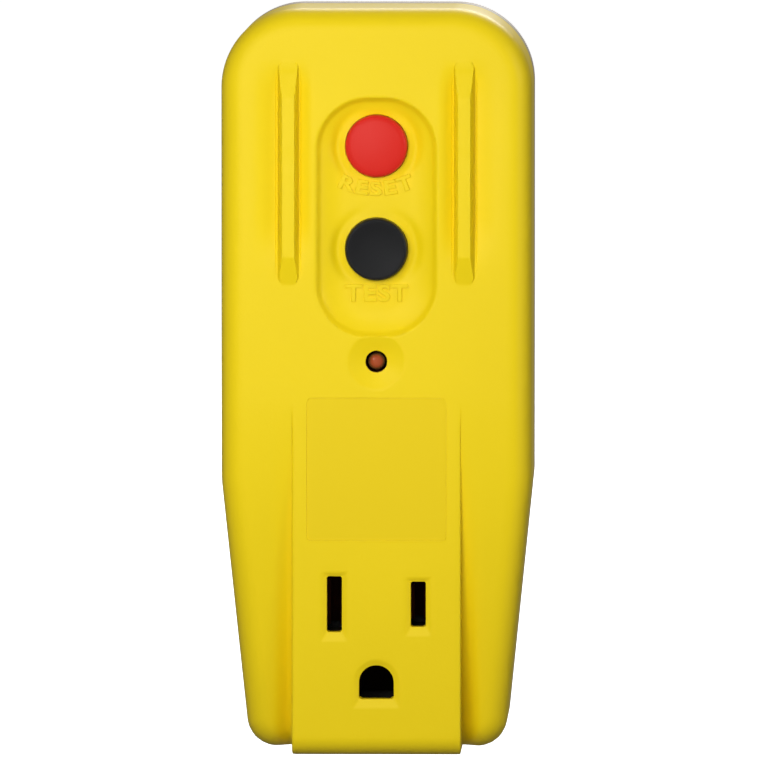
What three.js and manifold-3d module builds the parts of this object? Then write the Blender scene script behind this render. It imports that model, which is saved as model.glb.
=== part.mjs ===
// Plug-in ground-fault outlet adapter, modelled piece by piece in millimetres.
// +Z runs up the long body, the front faces -Y and the blades point along +Y.
// The origin lies on the rear face, midway between the two flat blades.
import * as THREE from 'three';
import Module from 'manifold-3d';

const wasm = await Module();
wasm.setup();

// ---- overall body ----
const FIT = 0.3;            // clearance between neighbouring pieces
const BODY_W = 47.0;        // widest part of the body
const BODY_TOP = 90.2;      // top edge above the blade line
const LOBE_BOTTOM = -22.0;  // lower edge of the two side lobes
const BODY_D = 37.0;        // rear face to outlet face
const BACK_D = 10.8;        // depth of the rear half
const WALL = 2.2;           // moulded wall
const LIP_T = 0.9;          // lip of the rear half that laps inside the front half
const LIP_H = 1.5;
const TOP_R = 12.0;         // upper corner radius in the front view
const LOW_R = 4.6;          // lower corner radius in the front view
const EDGE_R = 3.4;         // soft edge between front face and sides
const WAIST_Z = 18.75;      // where the sides begin to taper
const FOOT_W = 38.6;        // body width at the lower edge
const LOBE_DROP = 4.6;      // how far the lobes fall behind the outlet face
const LOBE_START = 31.0;    // height at which they begin to fall

// ---- outlet and plug (15 A, 125 V grounded pattern) ----
const POLE = 12.7;          // slot and blade spacing
const GROUND_DROP = 11.89;  // ground below the blade line
const SLOT_T = 2.3;
const SLOT_H_NEUTRAL = 8.5;
const SLOT_H_LINE = 6.9;
const GROUND_HOLE_W = 5.3;
const GROUND_HOLE_FLAT = 2.5;
const BLADE_T = 1.5;
const BLADE_W = 6.35;
const BLADE_L = 17.5;
const GROUND_PIN_D = 4.75;
const GROUND_PIN_L = 20.6;
const PAD_W = 25.6;         // raised outlet pad
const PAD_BOTTOM = -22.95;

// ---- controls ----
const RESET_Z = 69.35;
const TEST_Z = 53.75;
const BUTTON_D = 9.5;
const BUTTON_PROUD = 2.0;   // button above the well floor
const WELL_W = 18.4;
const WELL_H = 36.4;
const WELL_Z = 58.6;
const WELL_D = 1.8;
const LAMP_Z = 36.75;
const LAMP_BORE = 3.2;
const LAMP_DISH_R = 4.2;
const RIB_X = 13.3;
const RIB_W = 3.8;
const RIB_H = 1.3;
const RIB_LOW = 48.85;
const RIB_TOP = 82.65;
const LABEL_W = 21.6;
const LABEL_LOW = 9.4;
const LABEL_TOP = 31.5;
const LABEL_SINK = 0.3;

// ---- inside ----
const FRONT = -BODY_D;
const SEAM = -BACK_D;
const BOARD_Y = -13.0;      // front face of the circuit board
const BOARD_T = 1.6;
const POST_HIGH = [BODY_W / 2 - 7.5, BODY_TOP - 9.6];
const POST_LOW = [FOOT_W / 2 - 4.8, LOBE_BOTTOM + 6.4];
const SCREWS = [POST_HIGH, POST_LOW].flatMap(([x, z]) => [[x, z], [-x, z]]);

const SHOULDER = -(WALL + FIT); // blades and ground pin bear on the rear wall here

const deg = Math.PI / 180;
const MERGE_PER_MM = 5000;  // corners closer than this share are one corner

// ---- mesh to solid and back ----
function solid(geometry) {
  const g = geometry.index ? geometry.toNonIndexed() : geometry.clone();
  const p = g.attributes.position.array;
  const seen = new Map();
  const verts = [];
  const tris = [];
  for (let i = 0; i < p.length; i += 3) {
    const key = [p[i], p[i + 1], p[i + 2]].map((v) => Math.round(v * MERGE_PER_MM)).join();
    if (!seen.has(key)) {
      seen.set(key, verts.length / 3);
      verts.push(p[i], p[i + 1], p[i + 2]);
    }
    tris.push(seen.get(key));
  }
  const keep = [];
  let volume = 0;
  for (let i = 0; i < tris.length; i += 3) {
    const [a, b, c] = tris.slice(i, i + 3);
    if (a === b || b === c || a === c) continue;
    keep.push(a, b, c);
    const [A, B, C] = [a, b, c].map((k) => new THREE.Vector3(...verts.slice(3 * k, 3 * k + 3)));
    volume += A.dot(B.cross(C));
  }
  if (volume < 0) {
    for (let i = 0; i < keep.length; i += 3) [keep[i], keep[i + 1]] = [keep[i + 1], keep[i]];
  }
  return new wasm.Manifold(new wasm.Mesh({
    numProp: 3,
    vertProperties: Float32Array.from(verts),
    triVerts: Uint32Array.from(keep),
  }));
}
const join = (...parts) => parts.reduce((a, b) => a.add(b));
const cut = (body, ...tools) => tools.reduce((a, b) => a.subtract(b), body);

// ---- shapes, each returned as a solid ----
function box(x0, x1, y0, y1, z0, z1) {
  const g = new THREE.BoxGeometry(x1 - x0, y1 - y0, z1 - z0);
  return solid(g.translate((x0 + x1) / 2, (y0 + y1) / 2, (z0 + z1) / 2));
}
function rod(axis, r, from, to, a, b, sides = 24) {
  const g = new THREE.CylinderGeometry(r, r, to - from, sides);
  const mid = (from + to) / 2;
  if (axis === 'y') g.translate(a, mid, b);
  if (axis === 'x') g.rotateZ(-Math.PI / 2).translate(mid, a, b);
  if (axis === 'z') g.rotateX(Math.PI / 2).translate(a, b, mid);
  return solid(g);
}
// a turned piece: profile of [radius, y] pairs about a line along Y at (x, z)
function turned(profile, x, z, sides = 32) {
  const closed = [...profile, profile[0]].map(([r, y]) => new THREE.Vector2(r, y));
  return solid(new THREE.LatheGeometry(closed, sides).translate(x, 0, z));
}
// a flat plan outline of [x, z] pairs carried along Y
function slab(outline, y0, y1) {
  const shape = new THREE.Shape(outline.map(([x, z]) => new THREE.Vector2(x, z)));
  const g = new THREE.ExtrudeGeometry(shape, { depth: y1 - y0, bevelEnabled: false });
  return solid(g.rotateX(Math.PI / 2).translate(0, y1, 0));
}
// a side outline of [y, z] pairs carried along X
function bar(outline, x0, x1) {
  const shape = new THREE.Shape(outline.map(([y, z]) => new THREE.Vector2(y, z)));
  const g = new THREE.ExtrudeGeometry(shape, { depth: x1 - x0, bevelEnabled: false });
  g.applyMatrix4(new THREE.Matrix4().set(0, 0, 1, x0, 1, 0, 0, 0, 0, 1, 0, 0, 0, 0, 0, 1));
  return solid(g);
}
// Rings of equal length, skinned one to the next. Each ring starts at its bottom
// centre and is symmetrical left to right, so the end caps are strips across it.
function skin(rings) {
  const n = rings[0].length;
  const pos = [];
  const tri = (r, ...k) => k.forEach((i) => pos.push(...r[i]));
  for (let j = 0; j + 1 < rings.length; j++) {
    for (let i = 0; i < n; i++) {
      const b = (i + 1) % n;
      pos.push(...rings[j][i], ...rings[j][b], ...rings[j + 1][b]);
      pos.push(...rings[j][i], ...rings[j + 1][b], ...rings[j + 1][i]);
    }
  }
  const first = rings[0];
  const last = rings[rings.length - 1];
  for (let a = 0; a < n / 2; a++) {
    const b = a + 1;
    const c = (n - a - 1) % n;
    const d = (n - a) % n;
    if (b !== c) {
      tri(first, a, c, b);
      tri(last, a, b, c);
    }
    if (a !== d) {
      tri(first, a, d, c);
      tri(last, a, c, d);
    }
  }
  const g = new THREE.BufferGeometry();
  g.setAttribute('position', new THREE.Float32BufferAttribute(pos, 3));
  return solid(g);
}
function roundRect(w, h, r, steps = 6) {
  const out = [];
  for (let q = 0; q < 4; q++) {
    for (let i = 0; i <= steps; i++) {
      const t = (q - 1 + i / steps) * 90 * deg;
      const cx = (q === 0 || q === 1 ? 1 : -1) * (w / 2 - r);
      const cz = (q === 1 || q === 2 ? 1 : -1) * (h / 2 - r);
      out.push([cx + r * Math.cos(t), cz + r * Math.sin(t)]);
    }
  }
  return out;
}
const shifted = (outline, x, z) => outline.map(([a, b]) => [a + x, b + z]);
// a pocket or boss whose outline changes from one rounded rectangle to another
function tapered(levels, x, z) {
  return skin(levels.map(([w, h, r, y]) => {
    const right = roundRect(w, h, r).filter(([a]) => a > 1e-6).sort((p, q) => p[1] - q[1]);
    const left = right.map(([a, b]) => [-a, b]).reverse();
    return [[0, -h / 2], ...right, [0, h / 2], ...left].map(([a, b]) => [a + x, y, b + z]);
  }));
}
function tube(points, r, steps, sides = 8) {
  const path = new THREE.CatmullRomCurve3(points.map((p) => new THREE.Vector3(...p)));
  const ring = [];
  for (let i = 0; i < sides; i++) {
    const t = i / sides * 2 * Math.PI;
    ring.push(new THREE.Vector2(r * Math.cos(t), r * Math.sin(t)));
  }
  return solid(new THREE.ExtrudeGeometry(new THREE.Shape(ring), { steps, extrudePath: path }));
}
// a compression spring about a line along Y or Z, with near-flat end turns
function coil(axis, R, wire, from, to, turns, a, b) {
  const pts = [];
  const n = Math.round(turns * 10);
  for (let i = 0; i <= n; i++) {
    const s = i / n;
    const t = s * turns * 2 * Math.PI;
    const rise = from + wire + (to - from - 2 * wire) * s;
    const u = R * Math.cos(t);
    const v = R * Math.sin(t);
    pts.push(axis === 'y' ? [a + u, rise, b + v] : [a + u, b + v, rise]);
  }
  return tube(pts, wire, n, 5);
}

// ---- body outline, seen from the front ----
// One side from the bottom centre to the top centre, with its inward normal.
function halfOutline() {
  const half = BODY_W / 2;
  const foot = FOOT_W / 2;
  const slope = Math.atan((half - foot) / (WAIST_Z - LOBE_BOTTOM));
  const pts = [[0, LOBE_BOTTOM, 0, 1]];
  const low = LOW_R * Math.tan((90 * deg + slope) / 2);
  const cx = foot + low * Math.sin(slope) - LOW_R * Math.cos(slope);
  const cz = LOBE_BOTTOM + LOW_R;
  for (let i = 0; i <= 8; i++) {
    const t = -90 * deg + (90 * deg - slope) * i / 8;
    pts.push([cx + LOW_R * Math.cos(t), cz + LOW_R * Math.sin(t), -Math.cos(t), -Math.sin(t)]);
  }
  for (const z of [-10, 0, 9, WAIST_Z - 1.5]) {
    pts.push([foot + (z - LOBE_BOTTOM) * Math.tan(slope), z, -Math.cos(slope), Math.sin(slope)]);
  }
  for (const z of [WAIST_Z + 1.5, LOBE_START, 50, BODY_TOP - TOP_R - 6]) {
    pts.push([half, z, -1, 0]);
  }
  for (let i = 0; i <= 10; i++) {
    const t = 90 * deg * i / 10;
    const [nx, nz] = [Math.cos(t), Math.sin(t)];
    pts.push([half - TOP_R + TOP_R * nx, BODY_TOP - TOP_R + TOP_R * nz, -nx, -nz]);
  }
  pts.push([0, BODY_TOP, 0, -1]);
  return pts;
}
// how far the lobes have fallen back at a height: slowly at first, then faster
const LOBE_POWER = 1.6;
const lobeFall = (z) => z >= LOBE_START ? 0 :
  LOBE_DROP * ((LOBE_START - z) / (LOBE_START - LOBE_BOTTOM)) ** LOBE_POWER;
// a ring of the body outline moved inward, its depth given by a function of height
function bodyRing(inset, depth) {
  const side = halfOutline().map(([x, z, nx, nz]) => [x + nx * inset, z + nz * inset]);
  const right = side.slice(1, -1);
  const left = right.map(([x, z]) => [-x, z]).reverse();
  return [side[0], ...right, side[side.length - 1], ...left]
    .map(([x, z]) => [x, typeof depth === 'number' ? depth : depth(z), z]);
}
const bodySolid = (levels) => skin(levels.map(([inset, depth]) => bodyRing(inset, depth)));

// ---- materials ----
function mat(name, color, metalness = 0, roughness = 0.5) {
  return Object.assign(new THREE.MeshStandardMaterial({ color, metalness, roughness }), { name });
}
const M = {
  yellow: () => mat('housing_yellow', 0xe8cd19, 0, 0.5),
  grey: () => mat('housing_grey', 0xb7aca0, 0, 0.6),
  label: () => mat('label_blank', 0xe3c820, 0, 0.35),
  red: () => mat('button_red', 0xd92c26, 0, 0.4),
  black: () => mat('button_black', 0x1c1c1c, 0, 0.4),
  lamp: () => mat('lamp_amber', 0xc0553a, 0, 0.2),
  sleeve: () => mat('sleeve_dark', 0x2a160e, 0, 0.6),
  brass: () => mat('brass', 0xb98c3c, 1, 0.35),
  copper: () => mat('copper', 0xb56a3a, 1, 0.4),
  steel: () => mat('steel', 0xa8adb2, 1, 0.35),
  board: () => mat('board_green', 0x1f5b38, 0, 0.5),
  nylon: () => mat('nylon_cream', 0xd9d2bd, 0, 0.6),
  ferrite: () => mat('core_grey', 0x3c3d40, 0, 0.7),
  wire_black: () => mat('wire_black', 0x151515, 0, 0.5),
  wire_white: () => mat('wire_white', 0xe6e6e0, 0, 0.5),
  epoxy: () => mat('epoxy_orange', 0xc7701f, 0, 0.4),
  resin: () => mat('resin_black', 0x202022, 0, 0.5),
  film: () => mat('capacitor_blue', 0x2c4f8e, 0, 0.5),
  paper: () => mat('barrier_paper', 0x8a8f86, 0, 0.8),
};
const root = new THREE.Group();
root.name = 'outlet_adapter';
function add(name, body, material) {
  const m = body.getMesh();
  const pos = new Float32Array(m.triVerts.length * 3);
  m.triVerts.forEach((k, i) => {
    for (let c = 0; c < 3; c++) pos[3 * i + c] = m.vertProperties[k * m.numProp + c];
  });
  const g = new THREE.BufferGeometry();
  g.setAttribute('position', new THREE.BufferAttribute(pos, 3));
  g.computeVertexNormals();
  const mesh = new THREE.Mesh(g, material);
  mesh.name = name;
  root.add(mesh);
}

// ---- front housing ----
const SWEEP = 5;            // facets in the soft edges
const PAD_EDGE_R = 2.6;     // soft lower edge of the outlet pad
const POST_R = 3.2;
const POST_BORE_R = 1.5;
const POST_FRONT = 2;       // the upper posts start this far behind the face
const LOW_POST_FRONT = 5.8; // and the lower ones here, behind the lobes
const SLEEVE_T = 0.4;
const LIP_DEPTH = 0.8;      // sloping lips of the blade slots
const RIB_TIP_W = 1.7;

// lip of the ground opening: a round head, straight sides and a flat foot
function arch(grow, low) {
  const r = GROUND_HOLE_W / 2 + grow;
  const out = [[-r, -GROUND_HOLE_FLAT - low], [r, -GROUND_HOLE_FLAT - low]];
  for (let i = 0; i <= 12; i++) out.push([r * Math.cos(i * 15 * deg), r * Math.sin(i * 15 * deg)]);
  return out.map(([x, z]) => [x, z - GROUND_DROP]);
}
// the label recess and the label share one outline, smaller by a margin all round
function labelOutline(margin, radius) {
  const outline = roundRect(LABEL_W - margin, LABEL_TOP - LABEL_LOW - margin, radius, 3);
  return shifted(outline, 0, (LABEL_TOP + LABEL_LOW) / 2);
}
// the inside space of the front housing, set back from the face by a depth
const hollow = (depth, step) =>
  bodySolid([[WALL, SEAM + 1], [WALL, FRONT + depth], [WALL + 0.9, FRONT + depth - step]]);
// the ring-shaped space between two insets of the body outline
const bodyBand = (outer, inner, y0, y1) =>
  bodySolid([[outer, y0], [outer, y1]]).subtract(bodySolid([[inner, y0 - 2], [inner, y1 + 2]]));
const lampDish = () => turned([[0, FRONT + 1.5], [LAMP_BORE / 2 + 0.2, FRONT + 1.2],
  [LAMP_DISH_R + 0.3, FRONT - 0.1], [0, FRONT - 0.1]], 0, LAMP_Z, 36);

function roundedShell() {
  const levels = [[0, SEAM]];
  const pad = [[SEAM, PAD_BOTTOM + 0.3]];
  for (let i = 0; i <= SWEEP; i++) {
    const t = 90 * deg * i / SWEEP;
    const back = 1 - Math.sin(t);
    levels.push([EDGE_R * (1 - Math.cos(t)), (z) => FRONT + EDGE_R * back + lobeFall(z)]);
    pad.push([FRONT + PAD_EDGE_R * back, PAD_BOTTOM + PAD_EDGE_R * (1 - Math.cos(t))]);
  }
  pad.push([FRONT, LOBE_START + 2], [SEAM, LOBE_START + 2]);
  return join(bodySolid(levels), bar(pad, -PAD_W / 2, PAD_W / 2));
}

function buttonWell() {
  const levels = [[0.6, 8.3, -0.3], [-0.1, 8, 0.15], [-3, 6.8, WELL_D * 0.73], [-4.6, 6, WELL_D]];
  return tapered(levels.map(([grow, r, depth]) =>
    [WELL_W + grow, WELL_H + grow, r, FRONT + depth]), 0, WELL_Z);
}

{
  let shell = roundedShell();
  const wellBack = tapered([1, WELL_D + WALL].map((depth) =>
    [WELL_W + 1.4, WELL_H + 1.4, 8.4, FRONT + depth]), 0, WELL_Z);
  const high = hollow(3.2, 0.8).subtract(box(-30, 30, -60, 0, -40, 12));
  const low = hollow(7.2, 0.6).subtract(box(-30, 30, -60, 0, 12.5, 120));
  const behindPad = box(-PAD_W / 2 + 1.6, PAD_W / 2 - 1.6, FRONT + 2.6, SEAM + 1, -19.6, 12);
  shell = cut(shell, cut(high, wellBack), low, behindPad);
  for (const [x, z] of SCREWS) {
    const start = FRONT + (z < 0 ? LOW_POST_FRONT : POST_FRONT);
    shell = join(shell, rod('y', POST_R, start, SEAM, x, z, 20));
    shell = cut(shell, rod('y', POST_BORE_R, -26, SEAM + 1, x, z, 16));
  }
  // groove that takes the lip of the rear half
  shell = cut(shell, bodyBand(WALL - LIP_T - FIT, WALL + FIT, SEAM - LIP_H - FIT, SEAM + 1));
  // button well, lamp dish and the bores through them
  shell = cut(shell, buttonWell(),
    rod('y', BUTTON_D / 2 + FIT, FRONT - 1, FRONT + 8, 0, RESET_Z, 40),
    rod('y', BUTTON_D / 2 + FIT, FRONT - 1, FRONT + 8, 0, TEST_Z, 40));
  shell = join(shell, rod('y', 3.4, FRONT + 1.0, FRONT + 6, 0, LAMP_Z, 24));
  shell = cut(shell, lampDish(),
    rod('y', LAMP_BORE / 2 + SLEEVE_T + 0.15, FRONT - 1, FRONT + 9, 0, LAMP_Z, 24),
    slab(labelOutline(0, 0.8), FRONT - 1, FRONT + LABEL_SINK));
  // finger ribs, each between two shallow scoops
  const ribLength = RIB_TOP - RIB_LOW;
  const ribLevels = [[RIB_W, ribLength, 1.88, FRONT + 1.5], [RIB_W, ribLength, 1.88, FRONT],
    [RIB_W - 0.9, ribLength - 4.6, 1.4, FRONT - RIB_H * 0.62],
    [RIB_TIP_W, ribLength - 9.4, 0.83, FRONT - RIB_H]];
  for (const s of [-1, 1]) {
    for (const off of [-3.1, 3.1]) {
      const scoop = new THREE.SphereGeometry(1, 12, 8).scale(1.5, 1.0, 14.5);
      shell = cut(shell, solid(scoop.translate(s * RIB_X + off, FRONT, 67)));
    }
    shell = join(shell, tapered(ribLevels, s * RIB_X, (RIB_TOP + RIB_LOW) / 2));
  }
  // outlet openings, each with sloping lips
  for (const [x, h] of [[-POLE / 2, SLOT_H_NEUTRAL], [POLE / 2, SLOT_H_LINE]]) {
    const lip = [[SLOT_T + 2.0, h + 2.2, 0.15, FRONT - 0.1], [SLOT_T, h, 0.1, FRONT + LIP_DEPTH]];
    shell = cut(shell, box(x - SLOT_T / 2, x + SLOT_T / 2, FRONT - 1, FRONT + 5, -h / 2, h / 2),
      tapered(lip, x, -0.2));
  }
  shell = cut(shell, slab(arch(0, 0), FRONT - 1, FRONT + 5),
    slab(arch(0.8, 0.6), FRONT - 1, FRONT + 0.35));
  add('front_housing', shell, M.yellow());
}

// ---- rear housing ----
const REAR_EDGE = 1.0;
const COUNTERBORE_R = 3.1;
const COUNTERBORE_D = 4;
const REAR_LABEL = { w: 30, h: 34, z: 48, sink: 0.3 };
const SLOT_FIT = 0.15;      // round the blades and the ground pin where they leave the body
const LEDGES = [[17.4, 70], [-17.4, 70], [17.4, 20], [-17.4, 20]];
{
  const edge = REAR_EDGE;
  let back = bodySolid([[edge, 0], [edge * 0.3, -edge * 0.3], [0, -edge], [0, SEAM + FIT]]);
  back = cut(back, bodySolid([[WALL, SEAM - 1], [WALL, -WALL]]));
  for (const [x, z] of SCREWS) {
    back = join(back, rod('y', 3.9, SEAM + FIT, -1, x, z, 20));
    back = cut(back, rod('y', 1.75, -12, 1, x, z, 16),
      rod('y', COUNTERBORE_R, -COUNTERBORE_D, 1, x, z, 20));
  }
  // the lip that laps inside the front half
  back = join(back, bodyBand(WALL - LIP_T, WALL, SEAM - LIP_H, SEAM + FIT + 1));
  for (const x of [-POLE / 2, POLE / 2]) {
    const halfT = BLADE_T / 2 + SLOT_FIT;
    const halfW = BLADE_W / 2 + SLOT_FIT;
    back = cut(back, box(x - halfT, x + halfT, -5, 1, -halfW, halfW));
  }
  back = cut(back, rod('y', GROUND_PIN_D / 2 + SLOT_FIT, -5, 1, 0, -GROUND_DROP, 24));
  const recess = shifted(roundRect(REAR_LABEL.w, REAR_LABEL.h, 1.2, 3), 0, REAR_LABEL.z);
  back = cut(back, slab(recess, -REAR_LABEL.sink, 1));
  // ledges that carry the circuit board
  for (const [x, z] of LEDGES) {
    back = join(back, box(x - 1.6, x + 1.6, BOARD_Y + BOARD_T + 0.1, -1, z - 1.6, z + 1.6));
  }
  add('back_housing', back, M.grey());
}
add('front_label', slab(labelOutline(0.5, 0.6), FRONT + 0.1, FRONT + LABEL_SINK - 0.02), M.label());
add('rear_label', slab(shifted(roundRect(REAR_LABEL.w - 0.5, REAR_LABEL.h - 0.5, 1, 3), 0, REAR_LABEL.z),
  -REAR_LABEL.sink + 0.02, -0.1), M.label());

// ---- screws, seen at the rear ----
const HEAD_R = 2.75;
const SHANK_R = 1.2;
const HEAD_Y = [-3.7, -1.8];
const CROSS = 1.7;          // reach of the cross recess from the middle
const CROSS_HALF_T = 0.35;
SCREWS.forEach(([x, z], i) => {
  const screw = join(rod('y', HEAD_R, ...HEAD_Y, x, z, 24), rod('y', SHANK_R, -19, -3.6, x, z, 12));
  add(`screw_${i + 1}`, cut(screw,
    box(x - CROSS_HALF_T, x + CROSS_HALF_T, -2.6, 0, z - CROSS, z + CROSS),
    box(x - CROSS, x + CROSS, -2.6, 0, z - CROSS_HALF_T, z + CROSS_HALF_T)), M.steel());
});

// ---- push buttons, each a cap, a retaining flange and a hollow stem ----
const CAP_Y = FRONT + WELL_D - BUTTON_PROUD;
const FLANGE_Y = FRONT + WELL_D + WALL + FIT;
const FLANGE_T = 1.1;
const BRACKET_Y = -24.1;
const CAP_R = BUTTON_D / 2;
const STEM_R = 2.4;
// the side of a cap, its flange and its stem as far back as a given depth
const capBody = (stemEnd) => [[CAP_R, FLANGE_Y], [CAP_R + 1.1, FLANGE_Y],
  [CAP_R + 1.1, FLANGE_Y + FLANGE_T], [STEM_R, FLANGE_Y + FLANGE_T], [STEM_R, stemEnd]];
const resetCap = [[0, CAP_Y], [CAP_R - 1.0, CAP_Y + 0.08], [CAP_R - 0.3, CAP_Y + 0.3], [CAP_R, CAP_Y + 0.9],
  ...capBody(-21.9), [1.35, -21.9], [1.35, -27], [0, -27]];
const testCap = [[0, CAP_Y + 0.75], [1.8, CAP_Y + 0.6], [CAP_R - 1.3, CAP_Y + 0.12], [CAP_R - 0.8, CAP_Y],
  [CAP_R - 0.25, CAP_Y + 0.2], [CAP_R, CAP_Y + 0.7], ...capBody(-18.4), [0, -18.4]];
add('reset_button', turned(resetCap, 0, RESET_Z, 40), M.red());
add('test_button', turned(testCap, 0, TEST_Z, 40), M.black());
for (const [name, z] of [['reset_spring', RESET_Z], ['test_spring', TEST_Z]]) {
  add(name, coil('y', 3.3, 0.3, FLANGE_Y + FLANGE_T + 0.1, BRACKET_Y - 0.1, 4.5, 0, z), M.steel());
}
// the pin below the reset stem, with a waist under its head that the latch plate catches
const pinProfile = [[0, -26.8], [1.2, -26.8], [1.2, -17.2], [0.9, -17.2], [0.9, -16.4], [1.6, -16.4],
  [1.6, -15.9], [0.8, -15.3], [0, -15.3]];
add('reset_pin', turned(pinProfile, 0, RESET_Z, 20), M.steel());

// ---- circuit board and the parts soldered to it ----
const CORE_Z = 22;          // line of the sensing cores and of the wires through them
const LEAD_R = 0.3;
{
  const inset = WALL + 0.5;
  let board = bodySolid([[inset, BOARD_Y], [inset, BOARD_Y + BOARD_T]])
    .subtract(box(-30, 30, -30, 0, -40, 12.5));
  board = cut(board, rod('y', 2.2, -20, 0, 0, RESET_Z, 16), rod('y', 2.5, -20, 0, 0, CORE_Z, 20));
  for (const [x, z] of SCREWS) board = cut(board, rod('y', 4.3, -20, 0, x, z, 20));
  add('circuit_board', board, M.board());
}
const ON = BOARD_Y - 0.1;   // seat of parts on the board's front face
// a square lead that stands on the board
const lead = (x0, x1, y, z0, z1) => box(x0, x1, y, ON, z0, z1);
{
  const bore = LAMP_BORE / 2;
  const [near, far] = [FRONT + 1.3, FRONT + 9.5];
  add('lamp_sleeve', turned([[bore, near], [bore + SLEEVE_T, near], [bore + SLEEVE_T, far], [bore, far]],
    0, LAMP_Z, 24), M.sleeve());
  const dome = [[0, 1.9], [0.45, 2.0], [0.8, 2.25], [1.0, 2.8], [1.0, 7.6], [1.3, 7.6], [1.3, 8.4], [0, 8.4]];
  add('indicator_lamp', join(turned(dome.map(([r, y]) => [r, FRONT + y]), 0, LAMP_Z, 20),
    rod('y', 0.25, FRONT + 8.2, ON, 0.6, LAMP_Z, 8),
    rod('y', 0.25, FRONT + 8.2, ON, -0.6, LAMP_Z, 8)), M.lamp());
}
{
  const PITCH = 2.54;
  let chip = box(-7.8, 1.8, -17.2, -13.9, 43.2, 49.2);
  for (let i = 0; i < 4; i++) {
    const x = -7.2 + i * PITCH;
    for (const z of [42.9, 49.5]) chip = join(chip, lead(x, x + 0.5, -15.8, z - 0.45, z + 0.45));
  }
  add('control_chip', cut(chip, rod('y', 0.6, -18, -16.9, -6.6, 46.2, 12)), M.resin());
  let scr = cut(rod('y', 2.4, -20, -15.4, 6.2, 46, 24), box(3, 9, -21, -15, 47.5, 50));
  for (const x of [4.9, 6.2, 7.5]) scr = join(scr, lead(x - 0.25, x + 0.25, -15.6, 45.7, 46.2));
  add('trip_thyristor', scr, M.resin());
  add('surge_varistor', join(rod('x', 5, -18.2, -14.8, -20.6, 41, 28),
    lead(-16.9, -16.3, -16.6, 38, 38.6), lead(-16.9, -16.3, -16.6, 43.4, 44)), M.epoxy());
  add('film_capacitor', join(box(-18.2, -14.4, -21.6, -14, 53, 63),
    lead(-16.6, -16, -14.2, 54.4, 55), lead(-16.6, -16, -14.2, 61, 61.6)), M.film());
  add('storage_capacitor', join(rod('y', 3.1, -22.6, -13.9, 17.2, 42, 24),
    rod('y', 3.3, -14.9, -13.9, 17.2, 42, 24),
    rod('y', LEAD_R, -14, ON, 16.2, 42, 8), rod('y', LEAD_R, -14, ON, 18.2, 42, 8)), M.film());
  add('series_resistor', join(rod('z', 1.7, 54, 63, 17, -16.2, 16),
    rod('z', LEAD_R, 52.4, 64.6, 17, -16.2, 8),
    lead(16.7, 17.3, -16.5, 52.1, 52.7), lead(16.7, 17.3, -16.5, 64.3, 64.9)), M.nylon());
  for (const [name, x] of [['diode_left', -9.4], ['diode_right', 9.4]]) {
    add(name, join(rod('z', 1.1, 80, 84.4, x, -14.9, 14), rod('z', LEAD_R, 79.4, 85, x, -14.9, 8),
      lead(x - 0.3, x + 0.3, -15.2, 79.1, 79.7), lead(x - 0.3, x + 0.3, -15.2, 84.7, 85.3)), M.resin());
  }
  add('test_leaf', join(box(-7, 7, -16.5, -16.2, 52.4, 55.1),
    lead(-7, -6.6, -16.4, 52.4, 55.1), lead(6.6, 7, -16.4, 52.4, 55.1)), M.copper());
  add('barrier_sheet', cut(slab(shifted(roundRect(30, 46, 2, 3), 0, 50), -10.7, -10.3),
    rod('y', 2.2, -12, -9, 0, RESET_Z, 16)), M.paper());
}

// ---- fault sensing: two ring cores in a cup, the supply wires pass through ----
add('core_cup', turned([[2.9, -24.6], [3.5, -24.6], [3.5, -14], [8.2, -14], [8.2, -24.6], [8.8, -24.6],
  [8.8, -13.2], [2.9, -13.2]], 0, CORE_Z, 36), M.resin());
for (const [name, near, far] of [['sense_core', -18.5, -14.3], ['neutral_core', -23.2, -18.9]]) {
  add(name, turned([[3.8, near], [7.9, near], [7.9, far], [3.8, far]], 0, CORE_Z, 36), M.ferrite());
}
// one wire's route from its blade, through the cores and up one side to its terminal
const ROUTE = [[6.35, -8.4, 8.2], [5.2, -8.0, 13], [1.5, -8.6, 20.5], [1.25, -12, 22], [1.25, -20, 22],
  [1.8, -26.2, 22.6], [7, -28.4, 25], [14, -28.4, 31], [17.2, -27.8, 40], [17.4, -27.2, 55],
  [17.2, -26, 66], [17.1, -23.6, 71.0], [17.1, -22.9, 73]];
for (const [name, s, m] of [['wire_hot', 1, M.wire_black()], ['wire_neutral', -1, M.wire_white()]]) {
  add(name, tube(ROUTE.map(([x, y, z]) => [s * x, y, z]), 0.95, 36, 7), m);
}

// ---- bracket that guides the button stems and springs ----
{
  let bracket = box(-16.2, 16.2, BRACKET_Y, BRACKET_Y + 1.8, 47, 76);
  for (const z of [RESET_Z, TEST_Z]) bracket = cut(bracket, rod('y', STEM_R + FIT, -26, -20, 0, z, 24));
  bracket = cut(bracket, box(-2.6, 2.6, -26, -20, 74, 78),
    box(8.6, 18, -26, -20, 70.2, 78),
    box(-18, -8.6, -26, -20, 70.2, 78));
  for (const z of [48.4, 67.6]) {
    bracket = join(bracket, box(-16.2, -13.7, BRACKET_Y + 1.6, ON, z - 1.2, z + 1.2),
      box(13.7, 16.2, BRACKET_Y + 1.6, ON, z - 1.2, z + 1.2));
  }
  add('button_bracket', bracket, M.nylon());
}

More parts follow.
